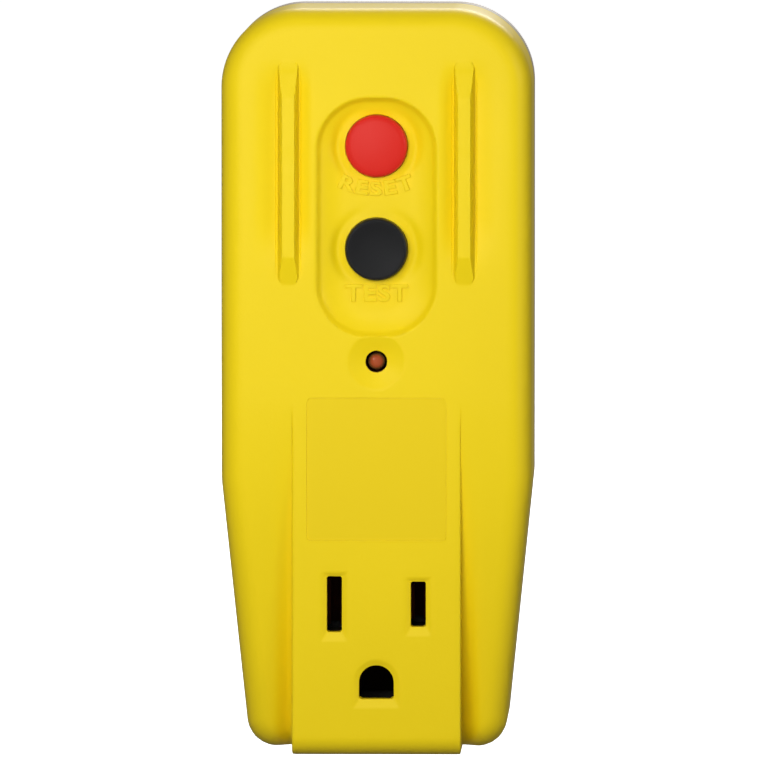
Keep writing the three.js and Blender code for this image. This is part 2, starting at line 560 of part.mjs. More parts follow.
// ---- contact carriage, latch and bridging contacts ----
const CARRIAGE_Y = -16.6;   // front face of the carriage
const BAR_X = 11.5;         // line of the bridging contacts, left and right
const BUTTON_R = 1.5;       // contact buttons
const STUD_Z = 68.1;
{
  let carriage = join(box(-6, 6, CARRIAGE_Y, CARRIAGE_Y + 3, 63, 73.6),
    box(-13, 13, CARRIAGE_Y, CARRIAGE_Y + 2, 65.6, 70.6));
  carriage = cut(carriage, rod('y', 2.3, -20, -10, 0, RESET_Z, 24));
  for (const x of [-BAR_X, BAR_X]) {
    carriage = join(carriage, rod('y', 0.8, CARRIAGE_Y - 1.2, CARRIAGE_Y + 0.2, x, STUD_Z, 12));
  }
  add('contact_carriage', carriage, M.nylon());
  let latch = box(-4, 4, CARRIAGE_Y - 1.1, CARRIAGE_Y - FIT, 64, 74.8);
  latch = join(latch, box(-2, 2, -20.5, CARRIAGE_Y - FIT, 74.0, 74.8));
  latch = cut(latch, slab(shifted(roundRect(4.2, 5.2, 2.05, 6), 0, RESET_Z + 0.45), -19, -15));
  add('latch_plate', latch, M.steel());
  for (const [name, x] of [['contact_bar_hot', BAR_X], ['contact_bar_neutral', -BAR_X]]) {
    let bridge = box(x - 2, x + 2, CARRIAGE_Y - 0.9, CARRIAGE_Y - FIT, 60.4, 76.4);
    bridge = cut(bridge, rod('y', 0.95, -20, -14, x, STUD_Z, 16));
    for (const z of [62.3, 74.4]) {
      bridge = join(bridge, rod('y', BUTTON_R, CARRIAGE_Y - 1.6, CARRIAGE_Y - 0.8, x, z, 20));
    }
    add(name, bridge, M.copper());
  }
}
// fixed strips lie in one plane, in front of the carriage
const STRIP = [-21.6, -20.8];
// a box given for the right-hand side, or its mirror image on the left
const sided = (s, x0, x1, ...rest) => s > 0 ? box(x0, x1, ...rest) : box(-x1, -x0, ...rest);
for (const [name, s] of [['line_terminal_hot', 1], ['line_terminal_neutral', -1]]) {
  add(name, join(sided(s, 9.5, 19, ...STRIP, 72.4, 76.2),
    rod('y', BUTTON_R, -20.9, -20.2, s * BAR_X, 74.4, 20),
    sided(s, 14.6, 15.4, -21.2, ON, 73.2, 75.6)), M.copper());
}
const LEAF_Y = [-31.5, -20.9];
const PINCH_Y = [-29.6, -28.4]; // where the leaves bend inwards to grip
for (const [name, s] of [['load_strip_hot', 1], ['load_strip_neutral', -1]]) {
  const half = (s < 0 ? SLOT_H_NEUTRAL : SLOT_H_LINE) / 2 - 0.8;
  const x = s * POLE / 2;
  let strip = join(sided(s, 9.9, 13.1, ...STRIP, 9.5, 64.2),
    rod('y', BUTTON_R, -20.9, -20.2, s * BAR_X, 62.3, 20));
  // out past the outlet block and in again behind the slot
  strip = join(strip, sided(s, 5.2, 13.1, ...STRIP, 7.0, 10.2), sided(s, 5.2, 7.5, ...STRIP, -half, 8),
    box(x - 1.65, x + 1.65, ...STRIP, -half, half));
  for (const side of [-1, 1]) {
    const cx = x + side * 1.35;
    const [inner, outer] = side > 0 ? [0.65, 0.3] : [0.3, 0.65];
    strip = join(strip, box(cx - 0.3, cx + 0.3, ...LEAF_Y, -half, half),
      box(cx - inner, cx + outer, ...PINCH_Y, -half, half));
  }
  add(name, strip, M.copper());
}

// ---- outlet block and ground path ----
const BLOCK_FLOOR = -20.4;
{
  let block = box(-10.6, 10.6, -33.6, -19.4, -19.2, 6.4);
  for (const [x, h] of [[-POLE / 2, SLOT_H_NEUTRAL], [POLE / 2, SLOT_H_LINE]]) {
    block = cut(block, box(x - 2.1, x + 2.1, -40, BLOCK_FLOOR, -h / 2 - 0.2, h / 2 + 0.2),
      box(x - 2.1, x + 2.1, -22, BLOCK_FLOOR, 0, 9));
  }
  block = cut(block, box(-3.9, 3.9, -40, BLOCK_FLOOR, -GROUND_DROP - 3.9, -GROUND_DROP + 3.9),
    rod('y', 1.6, -25, -10, 0, -GROUND_DROP, 16));
  add('outlet_block', block, M.resin());
}
// a plate centred on the ground line, given its sides, depths and half height
const groundPlate = (x0, x1, y0, y1, half) => box(x0, x1, y0, y1, -GROUND_DROP - half, -GROUND_DROP + half);
{
  let clip = groundPlate(-3.4, 3.4, -21.5, -20.7, 2.2);
  for (const [outer, inner] of [[[2.8, 3.4], [2.45, 3.1]], [[-3.4, -2.8], [-3.1, -2.45]]]) {
    clip = join(clip, groundPlate(...outer, ...LEAF_Y, 2.2), groundPlate(...inner, ...PINCH_Y, 2.2));
  }
  add('ground_contact', join(clip, rod('y', 1.3, -21, -14.2, 0, -GROUND_DROP, 16)), M.brass());
  add('ground_strap', join(groundPlate(-5.2, 5.2, -13.9, -13.1, 3), groundPlate(-5.2, -4.4, -13.5, -6.2, 2.4),
    groundPlate(-5.2, -2.9, -6.9, -6.1, 2.4)), M.brass());
  const pin = GROUND_PIN_D / 2;
  const tip = GROUND_PIN_L;
  add('ground_pin', turned([[0, -8.2], [2, -8.2], [2, SHOULDER - 2.9], [3.9, SHOULDER - 2.9], [3.9, SHOULDER],
    [pin, SHOULDER], [pin, tip - 2.6], [pin - 0.3, tip - 1.2], [1.3, tip - 0.3], [0.6, tip], [0, tip]],
  0, -GROUND_DROP, 28), M.brass());
}

// ---- flat blades: a strip with a chamfered tip and a hole, a shoulder and a wire lug ----
for (const [name, s] of [['blade_hot', 1], ['blade_neutral', -1]]) {
  const x = s * POLE / 2;
  const [t, w, tip, root] = [BLADE_T / 2, BLADE_W / 2, BLADE_L, -9.4];
  const half = [[tip - 1.2, w], [tip - 0.3, w - 1.1], [tip, w - 1.6]];
  const plan = [[root, -w], ...half.map(([y, z]) => [y, -z]), ...half.slice().reverse(), [root, w]];
  let blade = join(bar(plan, x - t, x + t), box(x - t, x + t, SHOULDER - 2.9, SHOULDER, -w - 1.6, w + 1.6));
  blade = cut(blade, rod('x', 1.6, x - 3, x + 3, 11.7, 0, 20));
  add(name, join(blade, box(x - t, x + t, root, -5.2, 0, 7.2)), M.brass());
}

// ---- trip solenoid ----
const COIL_Y = -20.6;       // line of the plunger, which moves along Z
{
  let frame = join(box(-6, 6, COIL_Y - 5.2, -15.4, 77.0, 77.8),
    box(-6, 6, COIL_Y - 5.2, -15.4, 86.4, 87.2),
    box(-6, 6, -15.9, -15.1, 77.0, 87.2));
  frame = cut(frame, rod('z', 2.1, 70, 80, 0, COIL_Y, 20));
  for (const x of [-5.6, 5.6]) frame = join(frame, lead(x - 0.4, x + 0.4, -15.4, 78.4, 80.2));
  add('solenoid_frame', frame, M.steel());
  let bobbin = rod('z', 2.3, 78.2, 86, 0, COIL_Y, 24);
  for (const z of [78.2, 85.2]) bobbin = join(bobbin, rod('z', 4.2, z, z + 0.8, 0, COIL_Y, 28));
  add('solenoid_bobbin', cut(bobbin, rod('z', 1.75, 70, 90, 0, COIL_Y, 20)), M.nylon());
  add('solenoid_winding', cut(rod('z', 3.9, 79.2, 85, 0, COIL_Y, 28),
    rod('z', 2.5, 78, 86, 0, COIL_Y, 24)), M.copper());
  add('solenoid_plunger', join(rod('z', 1.45, 75.9, 83, 0, COIL_Y, 20),
    rod('z', 1.0, 75.2, 76, 0, COIL_Y, 16)), M.steel());
  add('plunger_spring', coil('z', 1.0, 0.22, 83.1, 86.2, 3.5, 0, COIL_Y), M.steel());
}

export default root;
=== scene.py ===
import math

import bpy
import numpy as np
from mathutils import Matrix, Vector


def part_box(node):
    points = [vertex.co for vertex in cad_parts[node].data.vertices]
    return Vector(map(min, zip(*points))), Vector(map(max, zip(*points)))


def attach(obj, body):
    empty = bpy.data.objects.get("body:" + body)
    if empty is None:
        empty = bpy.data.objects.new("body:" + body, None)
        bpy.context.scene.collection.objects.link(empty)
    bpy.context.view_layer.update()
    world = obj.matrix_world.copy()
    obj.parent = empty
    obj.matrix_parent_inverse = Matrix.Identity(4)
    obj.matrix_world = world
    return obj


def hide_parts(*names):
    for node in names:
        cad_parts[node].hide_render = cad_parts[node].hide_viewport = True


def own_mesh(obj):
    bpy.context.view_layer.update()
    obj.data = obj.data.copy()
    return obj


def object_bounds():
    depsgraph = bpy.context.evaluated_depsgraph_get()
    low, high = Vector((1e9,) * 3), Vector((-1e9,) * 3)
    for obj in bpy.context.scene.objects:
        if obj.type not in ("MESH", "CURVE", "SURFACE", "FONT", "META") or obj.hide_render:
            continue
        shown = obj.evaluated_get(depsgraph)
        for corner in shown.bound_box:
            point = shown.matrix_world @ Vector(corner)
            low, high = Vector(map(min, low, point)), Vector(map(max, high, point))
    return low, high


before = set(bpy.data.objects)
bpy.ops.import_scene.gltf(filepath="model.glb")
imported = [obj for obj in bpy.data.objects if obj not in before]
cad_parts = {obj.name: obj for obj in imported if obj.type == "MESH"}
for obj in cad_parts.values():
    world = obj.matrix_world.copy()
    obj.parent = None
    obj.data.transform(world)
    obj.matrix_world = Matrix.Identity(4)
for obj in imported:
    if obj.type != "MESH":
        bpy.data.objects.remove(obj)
cad_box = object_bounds()

# ---------------------------------------------------------------- studio
# A long lens looks almost straight at the front, a little from above and from
# the right. A soft lamp stands close, so its light fades down the face, and three
# more stand further off. The floor and the air behind are plain white.
MM = 0.001
DISTANCE = 2.6
FIELD = 0.11485
AZIMUTH = math.radians(1.3)
ELEVATION = math.radians(3.0)
SLIDE = np.array([0.0006, 0.0, 0.00045])
FLOOR_GAP = 0.012
FLOOR_SPAN = 12.0
AIR_GLOW = 0.16
PAPER_GLOW = 0.9
low, high = cad_box
AIM = np.array([0.0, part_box("front_housing")[0].y, (low.z + high.z) / 2])


def look_from(azimuth, elevation, distance):
    """A point at a distance from the aim, turned round it and raised by the two angles."""
    flat = math.cos(elevation)
    away = np.array([math.sin(azimuth) * flat, -math.cos(azimuth) * flat, math.sin(elevation)])
    return AIM + distance * away


def point_at(obj, place, target):
    """Stand an object at a place with its own -Z towards the target and its Y up."""
    obj.location = Vector(place)
    obj.rotation_mode = "QUATERNION"
    obj.rotation_quaternion = (Vector(target) - Vector(place)).to_track_quat("-Z", "Y")


camera_data = bpy.data.cameras.new("camera")
camera_data.sensor_width = 36
camera_data.lens = camera_data.sensor_width * DISTANCE / FIELD
camera_data.clip_end = 50
camera = bpy.data.objects.new("camera", camera_data)
bpy.context.scene.collection.objects.link(camera)
point_at(camera, look_from(AZIMUTH, ELEVATION, DISTANCE) + SLIDE, AIM + SLIDE)
bpy.context.scene.camera = camera

floor_z = low.z - FLOOR_GAP
floor_mesh = bpy.data.meshes.new("floor")
floor_mesh.from_pydata([(i * FLOOR_SPAN, j * FLOOR_SPAN, floor_z)
                        for i, j in ((-1, -1), (1, -1), (1, 1), (-1, 1))], [], [(0, 1, 2, 3)])
floor = bpy.data.objects.new("floor", floor_mesh)
bpy.context.scene.collection.objects.link(floor)
floor.visible_diffuse = False
floor.visible_glossy = False
paper = bpy.data.materials.new("floor_paper")
paper.use_nodes = True
paper_shader = paper.node_tree.nodes["Principled BSDF"]
paper_shader.inputs["Base Color"].default_value = (0.9, 0.9, 0.9, 1)
paper_shader.inputs["Roughness"].default_value = 0.9
paper_shader.inputs["Emission Color"].default_value = (1, 1, 1, 1)
paper_shader.inputs["Emission Strength"].default_value = PAPER_GLOW
floor_mesh.materials.append(paper)

world = bpy.data.worlds.new("studio")
world.use_nodes = True
air, air_links = world.node_tree.nodes, world.node_tree.links
glow = air["Background"]
white_wall = air.new("ShaderNodeBackground")
ray = air.new("ShaderNodeLightPath")
pick = air.new("ShaderNodeMixShader")
glow.inputs["Color"].default_value = (1, 1, 1, 1)
glow.inputs["Strength"].default_value = AIR_GLOW
white_wall.inputs["Color"].default_value = (1, 1, 1, 1)
air_links.new(ray.outputs["Is Camera Ray"], pick.inputs[0])
air_links.new(glow.outputs[0], pick.inputs[1])
air_links.new(white_wall.outputs[0], pick.inputs[2])
air_links.new(pick.outputs[0], air["World Output"].inputs["Surface"])
bpy.context.scene.world = world
bpy.context.scene.view_settings.view_transform = "Standard"
bpy.context.scene.view_settings.look = "None"

# two angles in degrees, a distance and a size in metres, and a power in watts; the key lamp
# is kept out of reflections, which would veil the whole face
for name, azimuth, elevation, distance, size, power in [
        ("key_lamp", -8, 14, 0.23, 0.13, 0.44), ("left_lamp", -32, 22, 0.8, 0.16, 0.40),
        ("right_lamp", 58, 12, 1.2, 0.35, 1.5), ("back_lamp", 165, 40, 1.3, 0.8, 12.0)]:
    lamp_data = bpy.data.lights.new(name, "AREA")
    lamp_data.shape = "DISK"
    lamp_data.size = size
    lamp_data.energy = power
    lamp = bpy.data.objects.new(name, lamp_data)
    lamp.visible_camera = False
    lamp.visible_glossy = name != "key_lamp"
    bpy.context.scene.collection.objects.link(lamp)
    point_at(lamp, look_from(math.radians(azimuth), math.radians(elevation), distance), AIM)


# ---------------------------------------------------------------- front cover
# The yellow front half, moulded in one piece from tough plastic with a fine
# spark-eroded grain: button well, lamp dish, finger ribs, side lobes and the
# square outlet pad. Four screws from the rear pull it onto the rear half.
front_low, front_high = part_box("front_housing")
RIB_RISE = 1.3
FACE = front_low.y / MM + RIB_RISE
SEAM = front_high.y / MM
HALF = front_high.x / MM
TOP = front_high.z / MM
PAD_FOOT = front_low.z / MM
LOBE_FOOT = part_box("back_housing")[0].z / MM
TOP_CORNER = 12.0
FOOT_CORNER = 4.6
FOOT_HALF = 19.3
WAIST = 18.75
WAIST_ROUND = 10.0
SOFT_EDGE = 3.4
LOBE_START = 31.0
LOBE_DROP = 4.6
PAD_HALF = 12.8
PAD_TOP = 32.2
HOLE_WALL = 2.4
HOLE_DRAFT = 0.03
SNAP_SHARE = 0.52
TWIN_GAP = 0.012
WALL = 2.2


def sector_corner(x, z, sd, centre, n1, n2, radius):
    """Swap the distance for that of a round corner where a point lies between its two normals."""
    vx, vz = x - centre[0], z - centre[1]
    det = n1[0] * n2[1] - n1[1] * n2[0]
    a = (vx * n2[1] - vz * n2[0]) / det
    b = (n1[0] * vz - n1[1] * vx) / det
    return np.where((a > 0) & (b > 0), np.hypot(vx, vz) - radius, sd)


def body_outline(x, z):
    """Signed distance to the outline in the front view, in mm, negative inside: straight
    sides that taper below the waist, with round corners."""
    x = np.abs(x)
    lean = math.atan((HALF - FOOT_HALF) / (WAIST - LOBE_FOOT))
    side, taper = (1.0, 0.0), (math.cos(lean), -math.sin(lean))
    reach = HALF * taper[0] + WAIST * taper[1]
    sd = np.maximum.reduce([x - HALF, z - TOP, LOBE_FOOT - z, x * taper[0] + z * taper[1] - reach])
    sd = sector_corner(x, z, sd, (HALF - TOP_CORNER, TOP - TOP_CORNER), side, (0.0, 1.0),
                       TOP_CORNER)
    cz = LOBE_FOOT + FOOT_CORNER
    cx = (reach - FOOT_CORNER - cz * taper[1]) / taper[0]
    sd = sector_corner(x, z, sd, (cx, cz), taper, (0.0, -1.0), FOOT_CORNER)
    wx = HALF - WAIST_ROUND
    wz = (reach - WAIST_ROUND - wx * taper[0]) / taper[1]
    return sector_corner(x, z, sd, (wx, wz), side, taper, WAIST_ROUND)


def round_box(x, z, cx, cz, width, height, radius):
    """Signed distance to a rounded rectangle, negative inside."""
    qx = np.abs(x - cx) - width / 2 + radius
    qz = np.abs(z - cz) - height / 2 + radius
    outside = np.hypot(np.maximum(qx, 0), np.maximum(qz, 0))
    return outside + np.minimum(np.maximum(qx, qz), 0) - radius


def circle(cx, cz, radius):
    """Signed distance to a circle, as a function of the two coordinates."""
    return lambda x, z: np.hypot(x - cx, z - cz) - radius


def slope_of(curve, x, z):
    """Unit direction in which a distance grows fastest, by central differences."""
    e = 1e-3
    gx = curve(x + e, z) - curve(x - e, z)
    gz = curve(x, z + e) - curve(x, z - e)
    size = np.hypot(gx, gz) + 1e-12
    return gx / size, gz / size


def gridlines(*runs):
    """Sorted line positions: each run is (start, end, widest gap), and near twins are merged."""
    parts = [np.linspace(a, b, max(2, int(math.ceil((b - a) / gap)) + 1)) for a, b, gap in runs]
    lines = np.sort(np.concatenate(parts))
    return lines[np.append(True, np.diff(lines) > TWIN_GAP)]


def cut_sheet(xs, zs, rim, holes, blind=()):
    """A grid sheet over two coordinates. Points near the rim or a hole are drawn onto its curve,
    what lies outside is dropped, and the points just inside a hole become the foot of its wall.
    A blind hole keeps its floor. Returns the coordinates, the foot mask, the rim mask, one mask
    for each blind floor, and the triangles, which face the first coordinate crossed with the
    second."""
    x, z = np.meshgrid(xs, zs, indexing="ij")
    gap_x, gap_z = np.diff(xs), np.diff(zs)
    wider_x = np.maximum(np.append(gap_x, 0), np.append(0, gap_x))
    wider_z = np.maximum(np.append(gap_z, 0), np.append(0, gap_z))
    reach = SNAP_SHARE * np.maximum(wider_x[:, None], wider_z[None, :])
    gone, foot, snapped, on_rim = (np.zeros(x.shape, bool) for _ in range(4))
    floors = []
    for number, hole in enumerate([*holes, *blind]):
        sd = hole(x, z)
        near = np.abs(sd) <= reach
        inside = sd < -reach
        wide = np.pad(near, 1)
        touch = np.any([wide[i:i + x.shape[0], j:j + x.shape[1]]
                        for i in range(3) for j in range(3)], 0)
        if number < len(holes):
            foot |= inside & touch
            gone |= inside & ~touch
        else:
            floors.append(inside)
        snapped |= near
        for goal, mask in ((0.0, near), (-HOLE_DRAFT, inside & touch)):
            for _ in range(3):
                gx, gz = slope_of(hole, x[mask], z[mask])
                step = hole(x[mask], z[mask]) - goal
                x[mask], z[mask] = x[mask] - step * gx, z[mask] - step * gz
    if rim is None:
        on_rim[[0, -1], :] = True
        on_rim[:, [0, -1]] = True
        tied = snapped
    else:
        sd = rim(x, z)
        on_rim = np.abs(sd) <= reach
        gone |= sd > reach
        for _ in range(3):
            gx, gz = slope_of(rim, x[on_rim], z[on_rim])
            step = rim(x[on_rim], z[on_rim])
            x[on_rim], z[on_rim] = x[on_rim] - step * gx, z[on_rim] - step * gz
        tied = snapped | on_rim
    index = np.arange(x.size).reshape(x.shape)
    a, b, c, d = index[:-1, :-1], index[1:, :-1], index[1:, 1:], index[:-1, 1:]
    tied = tied.ravel()
    along = ~(tied[b] & tied[d] & ~(tied[a] & tied[c]))
    first = np.where(along[..., None], np.stack([a, b, c], -1), np.stack([a, b, d], -1))
    second = np.where(along[..., None], np.stack([a, c, d], -1), np.stack([b, c, d], -1))
    tris = np.concatenate([first.reshape(-1, 3), second.reshape(-1, 3)])
    bad = gone.ravel()[tris].any(1) | foot.ravel()[tris].all(1)
    tris = tris[~bad]
    used = np.unique(tris)
    renumber = np.zeros(x.size, int)
    renumber[used] = np.arange(used.size)
    kept = [grid.ravel()[used] for grid in (x, z, foot, on_rim, *floors)]
    return kept[0], kept[1], kept[2], kept[3], kept[4:], renumber[tris]


def skirt(points, tris, on_rim, out_x, out_z, steps):
    """Carry the rim outward and back: each step is a distance out along the rim's normal and a rule
    for the depth there. Returns all points and the faces, triangles and then quads."""
    edges = np.concatenate([tris[:, [0, 1]], tris[:, [1, 2]], tris[:, [2, 0]]])
    keys = np.sort(edges, 1)
    keys = keys[:, 0] * len(points) + keys[:, 1]
    _, first, counts = np.unique(keys, return_index=True, return_counts=True)
    open_edges = edges[first[counts == 1]]
    open_edges = open_edges[on_rim[open_edges].all(1)]
    rim_points = np.unique(open_edges)
    place = np.zeros(len(points), int)
    place[rim_points] = np.arange(rim_points.size)
    start = points[rim_points]
    rings, quads, before = [points], [], rim_points
    total = len(points)
    for out, depth in steps:
        x = start[:, 0] + out * out_x[rim_points]
        z = start[:, 2] + out * out_z[rim_points]
        rings.append(np.stack([x, np.broadcast_to(depth(x, z), x.shape), z], 1))
        now = total + np.arange(rim_points.size)
        a, b = place[open_edges[:, 0]], place[open_edges[:, 1]]
        quads.append(np.stack([before[b], before[a], now[a], now[b]], 1))
        before, total = now, total + rim_points.size
    return np.concatenate(rings), tris, np.concatenate(quads)


def rounded_edge(radius, count, depth, inset=0.0):
    """Skirt steps round an edge, at equal angles up to a right angle: out by the radius times the
    sine, to the depth that a rule gives for the place and for one less the cosine."""
    return [(inset + radius * math.sin(t), lambda x, z, back=1 - math.cos(t): depth(x, z, back))
            for t in np.linspace(0, math.pi / 2, count + 1)[1:]]


def make_piece(name, sheets, body, material, smooth_angle=32):
    """One object from sheets of (points in mm, faces, more faces), shaded smooth but for its
    creases."""
    points, faces, start = [], [], 0
    for p, *groups in sheets:
        points.append(np.asarray(p) * MM)
        for group in groups:
            faces += (np.asarray(group) + start).tolist()
        start += len(p)
    mesh = bpy.data.meshes.new(name)
    mesh.from_pydata(np.concatenate(points).tolist(), [], faces)
    mesh.polygons.foreach_set("use_smooth", [True] * len(mesh.polygons))
    mesh.set_sharp_from_angle(angle=math.radians(smooth_angle))
    mesh.materials.append(material)
    obj = bpy.data.objects.new(name, mesh)
    bpy.context.scene.collection.objects.link(obj)
    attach(obj, body)
    return obj


def new_material(name):
    """A material, its nodes, its shader and a node that gives Object coordinates."""
    material = bpy.data.materials.new(name)
    material.use_nodes = True
    nodes = material.node_tree.nodes
    return material, nodes, nodes["Principled BSDF"], nodes.new("ShaderNodeTexCoord")


def add_node(nodes, kind, **settings):
    """A new node with its inputs set. An underscore stands for a space in an input's name."""
    node = nodes.new("ShaderNode" + kind)
    for key, value in settings.items():
        node.inputs[key.replace("_", " ")].default_value = value
    return node


def join(material, *pairs):
    """Link nodes: each pair is a node, its output, another node and its input."""
    for source, output, target, entry in pairs:
        material.node_tree.links.new(source.outputs[output], target.inputs[entry])


def moulded_plastic(name, colour, roughness, grain=3800, depth=0.00002, tint=0.03, shine=0.5):
    """Pigmented plastic: a slow drift in tone, and a fine grain that roughens and dents it."""
    material, nodes, shader, where = new_material(name)
    drift = add_node(nodes, "TexNoise", Scale=45, Detail=3)
    tones = add_node(nodes, "ValToRGB")
    tones.color_ramp.elements[0].color = (*[v * (1 - tint) for v in colour], 1)
    tones.color_ramp.elements[1].color = (*[min(1.0, v * (1 + tint)) for v in colour], 1)
    fine = add_node(nodes, "TexNoise", Scale=grain, Detail=4)
    bump = add_node(nodes, "Bump", Strength=1.0, Distance=depth)
    gloss = add_node(nodes, "MapRange", To_Min=max(0.03, roughness - 0.05),
                     To_Max=roughness + 0.07)
    shader.inputs["Specular IOR Level"].default_value = shine
    join(material, (where, "Object", drift, "Vector"), (where, "Object", fine, "Vector"),
         (drift, "Fac", tones, "Fac"), (tones, "Color", shader, "Base Color"),
         (fine, "Fac", gloss, "Value"), (gloss, "Result", shader, "Roughness"),
         (fine, "Fac", bump, "Height"), (bump, "Normal", shader, "Normal"))
    return material


yellow = moulded_plastic("yellow_moulding", (0.87, 0.645, 0.006), roughness=0.42, shine=0.35)


def middle(node):
    """Height of a CAD node's middle, in mm."""
    bottom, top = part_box(node)
    return (bottom.z + top.z) / 2 / MM


RESET_AT = middle("reset_button")
TEST_AT = middle("test_button")
LAMP_AT = middle("indicator_lamp")
BUTTON_HOLE = 4.8
LAMP_HOLE = 1.66
WELL = (0.0, 58.6, 18.4, 36.4, 8.0)
WELL_DEPTH = 1.8
WELL_STEP = 0.5
WELL_ROUND = 0.9
WELL_SLOPE = 4.4
MOAT_AT = 6.0
MOAT_WIDE = 0.75
MOAT_DEPTH = 0.45
DISH_RADIUS = 4.25
DISH_DEPTH = 1.35
RIB_AT = 13.3
RIB_FOOT = 48.4
RIB_TOP = 82.3
RIB_WIDE = 3.1
RIB_CORNER = 1.25
RIB_FLANK = 0.62
RIB_FOOT_RAMP = 4.1
RIB_TOP_RAMP = 5.75
RIB_DIP_AT = 67.3
RIB_DIP = 0.04
GROOVE = 0.4
GROOVE_DEPTH = 0.14
SCOOP_DEPTH = 0.7
SCOOP_FOOT = 50.5
SCOOP_TOP = 83.0
SCOOP_INNER = 2.6
SCOOP_OUTER = 4.6
VALLEY_AT = 13.0
VALLEY_WIDE = 1.7
VALLEY_SHARE = 0.5


def lobe_fall(z):
    """How far the face falls back below the lobe start: a power curve of the drop."""
    return LOBE_DROP * np.clip((LOBE_START - z) / (LOBE_START - LOBE_FOOT), 0, 1.1) ** 1.6


def lobe_depth(x, z):
    """Depth of a side lobe: its fall, and a valley of half as much again where it meets the
    pad, with a bell curve across."""
    bell = np.exp(-((np.abs(x) - VALLEY_AT) / VALLEY_WIDE) ** 2)
    return lobe_fall(z) * (1 + VALLEY_SHARE * bell)


def soft_step(t):
    """A smooth rise from 0 to 1."""
    t = np.clip(t, 0, 1)
    return t * t * (3 - 2 * t)


def face_depth(x, z):
    """Depth of the moulded face behind the pad's plane, in mm: lobes, valleys, scoops, grooves,
    well and lamp dish go in, and the two ribs stand out. A shallow moat dips at both sides of
    each button."""
    side = np.abs(x)
    depth = lobe_depth(x, z)
    ends = soft_step((z - SCOOP_FOOT) / 8) * soft_step((SCOOP_TOP - z) / 6)
    for away, reach in ((RIB_AT - side, SCOOP_INNER), (side - RIB_AT, SCOOP_OUTER)):
        beside = (away - RIB_WIDE / 2) / reach
        depth = depth + SCOOP_DEPTH * ends * (away > 0) * (1 - soft_step(beside)) ** 1.5
    rib = round_box(side, z, RIB_AT, (RIB_TOP + RIB_FOOT) / 2, RIB_WIDE, RIB_TOP - RIB_FOOT,
                    RIB_CORNER)
    groove = np.clip(1 - ((rib - GROOVE / 2) / (GROOVE / 2)) ** 2, 0, 1)
    groove = groove * soft_step((z - RIB_FOOT) / 5) * soft_step((RIB_TOP - z) / 5)
    depth = depth + GROOVE_DEPTH * groove
    height = np.minimum.reduce([-rib / RIB_FLANK, (z - RIB_FOOT) / RIB_FOOT_RAMP,
                                (RIB_TOP - z) / RIB_TOP_RAMP, np.ones_like(z)])
    dip = RIB_DIP * np.exp(-((z - RIB_DIP_AT) / 1.4) ** 4) * (rib < -0.6)
    height = np.clip(height, 0, 1) - dip
    depth = np.where(rib < 0, (1 - np.minimum(height * 3, 1)) * depth - RIB_RISE * height, depth)
    inward = -round_box(x, z, *WELL)
    well = WELL_STEP * soft_step(inward / WELL_ROUND)
    well = well + (WELL_DEPTH - WELL_STEP) * (1 - (1 - np.clip(inward / WELL_SLOPE, 0, 1)) ** 2)
    for centre in (RESET_AT, TEST_AT):
        r = np.hypot(x, z - centre) + 1e-6
        moat = np.exp(-((r - MOAT_AT) / MOAT_WIDE) ** 2) * (inward > 0)
        well = well + MOAT_DEPTH * (x / r) ** 2 * moat
    r = np.hypot(x, z - LAMP_AT)
    dish = DISH_DEPTH * np.clip(1 - r / DISH_RADIUS, 0, 1) ** 0.9
    pressed = np.maximum(well, dish)
    return np.where(pressed > 1e-6, np.maximum(pressed, depth), depth)


def under_pad(x, z):
    """The opening beneath the outlet pad, which has a face of its own."""
    return round_box(x, z, 0, PAD_TOP - 40, 2 * PAD_HALF, 80, 0.02)


# the grid lines stand closer at the flanks of the ribs and where the lobes turn under
RIM_INSET = SOFT_EDGE + 0.1
rib_lines = [(flank - 0.52, flank + 0.52, 0.13)
             for flank in (s * (RIB_AT + k * 1.6) for s in (-1, 1) for k in (-1, 1))]
face_xs = gridlines((-HALF, -16, 0.5), (-16, 16, 0.26), (16, HALF, 0.5), (14.2, 16.6, 0.2),
                    (-16.6, -14.2, 0.2), *rib_lines)
face_zs = gridlines((LOBE_FOOT, 31, 0.7), (31, 84, 0.26), (84, TOP, 0.5),
                    (LOBE_FOOT + 3, LOBE_FOOT + 5.4, 0.2))
inner_rim = lambda x, z: body_outline(x, z) + RIM_INSET
x, z, foot, on_rim, _, tris = cut_sheet(face_xs, face_zs, inner_rim, [
    circle(0, RESET_AT, BUTTON_HOLE), circle(0, TEST_AT, BUTTON_HOLE),
    circle(0, LAMP_AT, LAMP_HOLE), under_pad])
points = np.stack([x, FACE + face_depth(x, z) + HOLE_WALL * foot, z], 1)
nx, nz = slope_of(inner_rim, x, z)
steps = rounded_edge(SOFT_EDGE, 10, lambda x, z, back: FACE + lobe_depth(x, z) + SOFT_EDGE * back,
                     inset=RIM_INSET - SOFT_EDGE)
steps += [(RIM_INSET, lambda x, z: SEAM - 6), (RIM_INSET, lambda x, z: SEAM - 0.25),
          (RIM_INSET - 0.2, lambda x, z: SEAM), (RIM_INSET - WALL, lambda x, z: SEAM),
          (RIM_INSET - WALL, lambda x, z: FACE + 8)]
body_sheet = skirt(points, tris, on_rim, nx, nz, steps)

# the outlet pad: blank recess above, three openings with sloping lips below, and a tail that
# runs back to the seam beneath the lobes
POLE = 6.35
GROUND_AT = -11.89
PAD_EDGE = 0.35
PAD_ROUND = 2.8
SLOT_HALF = 1.15
SLOTS = ((-POLE, 4.25), (POLE, 3.45))
SLOT_LIP = 0.85
SLOT_LIP_TOP = 0.62
SLOT_LIP_FOOT = 1.35
LIP_DEPTH = 0.34
ARCH_HALF = 2.65
ARCH_FOOT = 2.5
PAD_TUCK = 0.9
BLANK_SINK = 0.14
BLANK_GAP = 0.03
blank_low, blank_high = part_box("front_label")


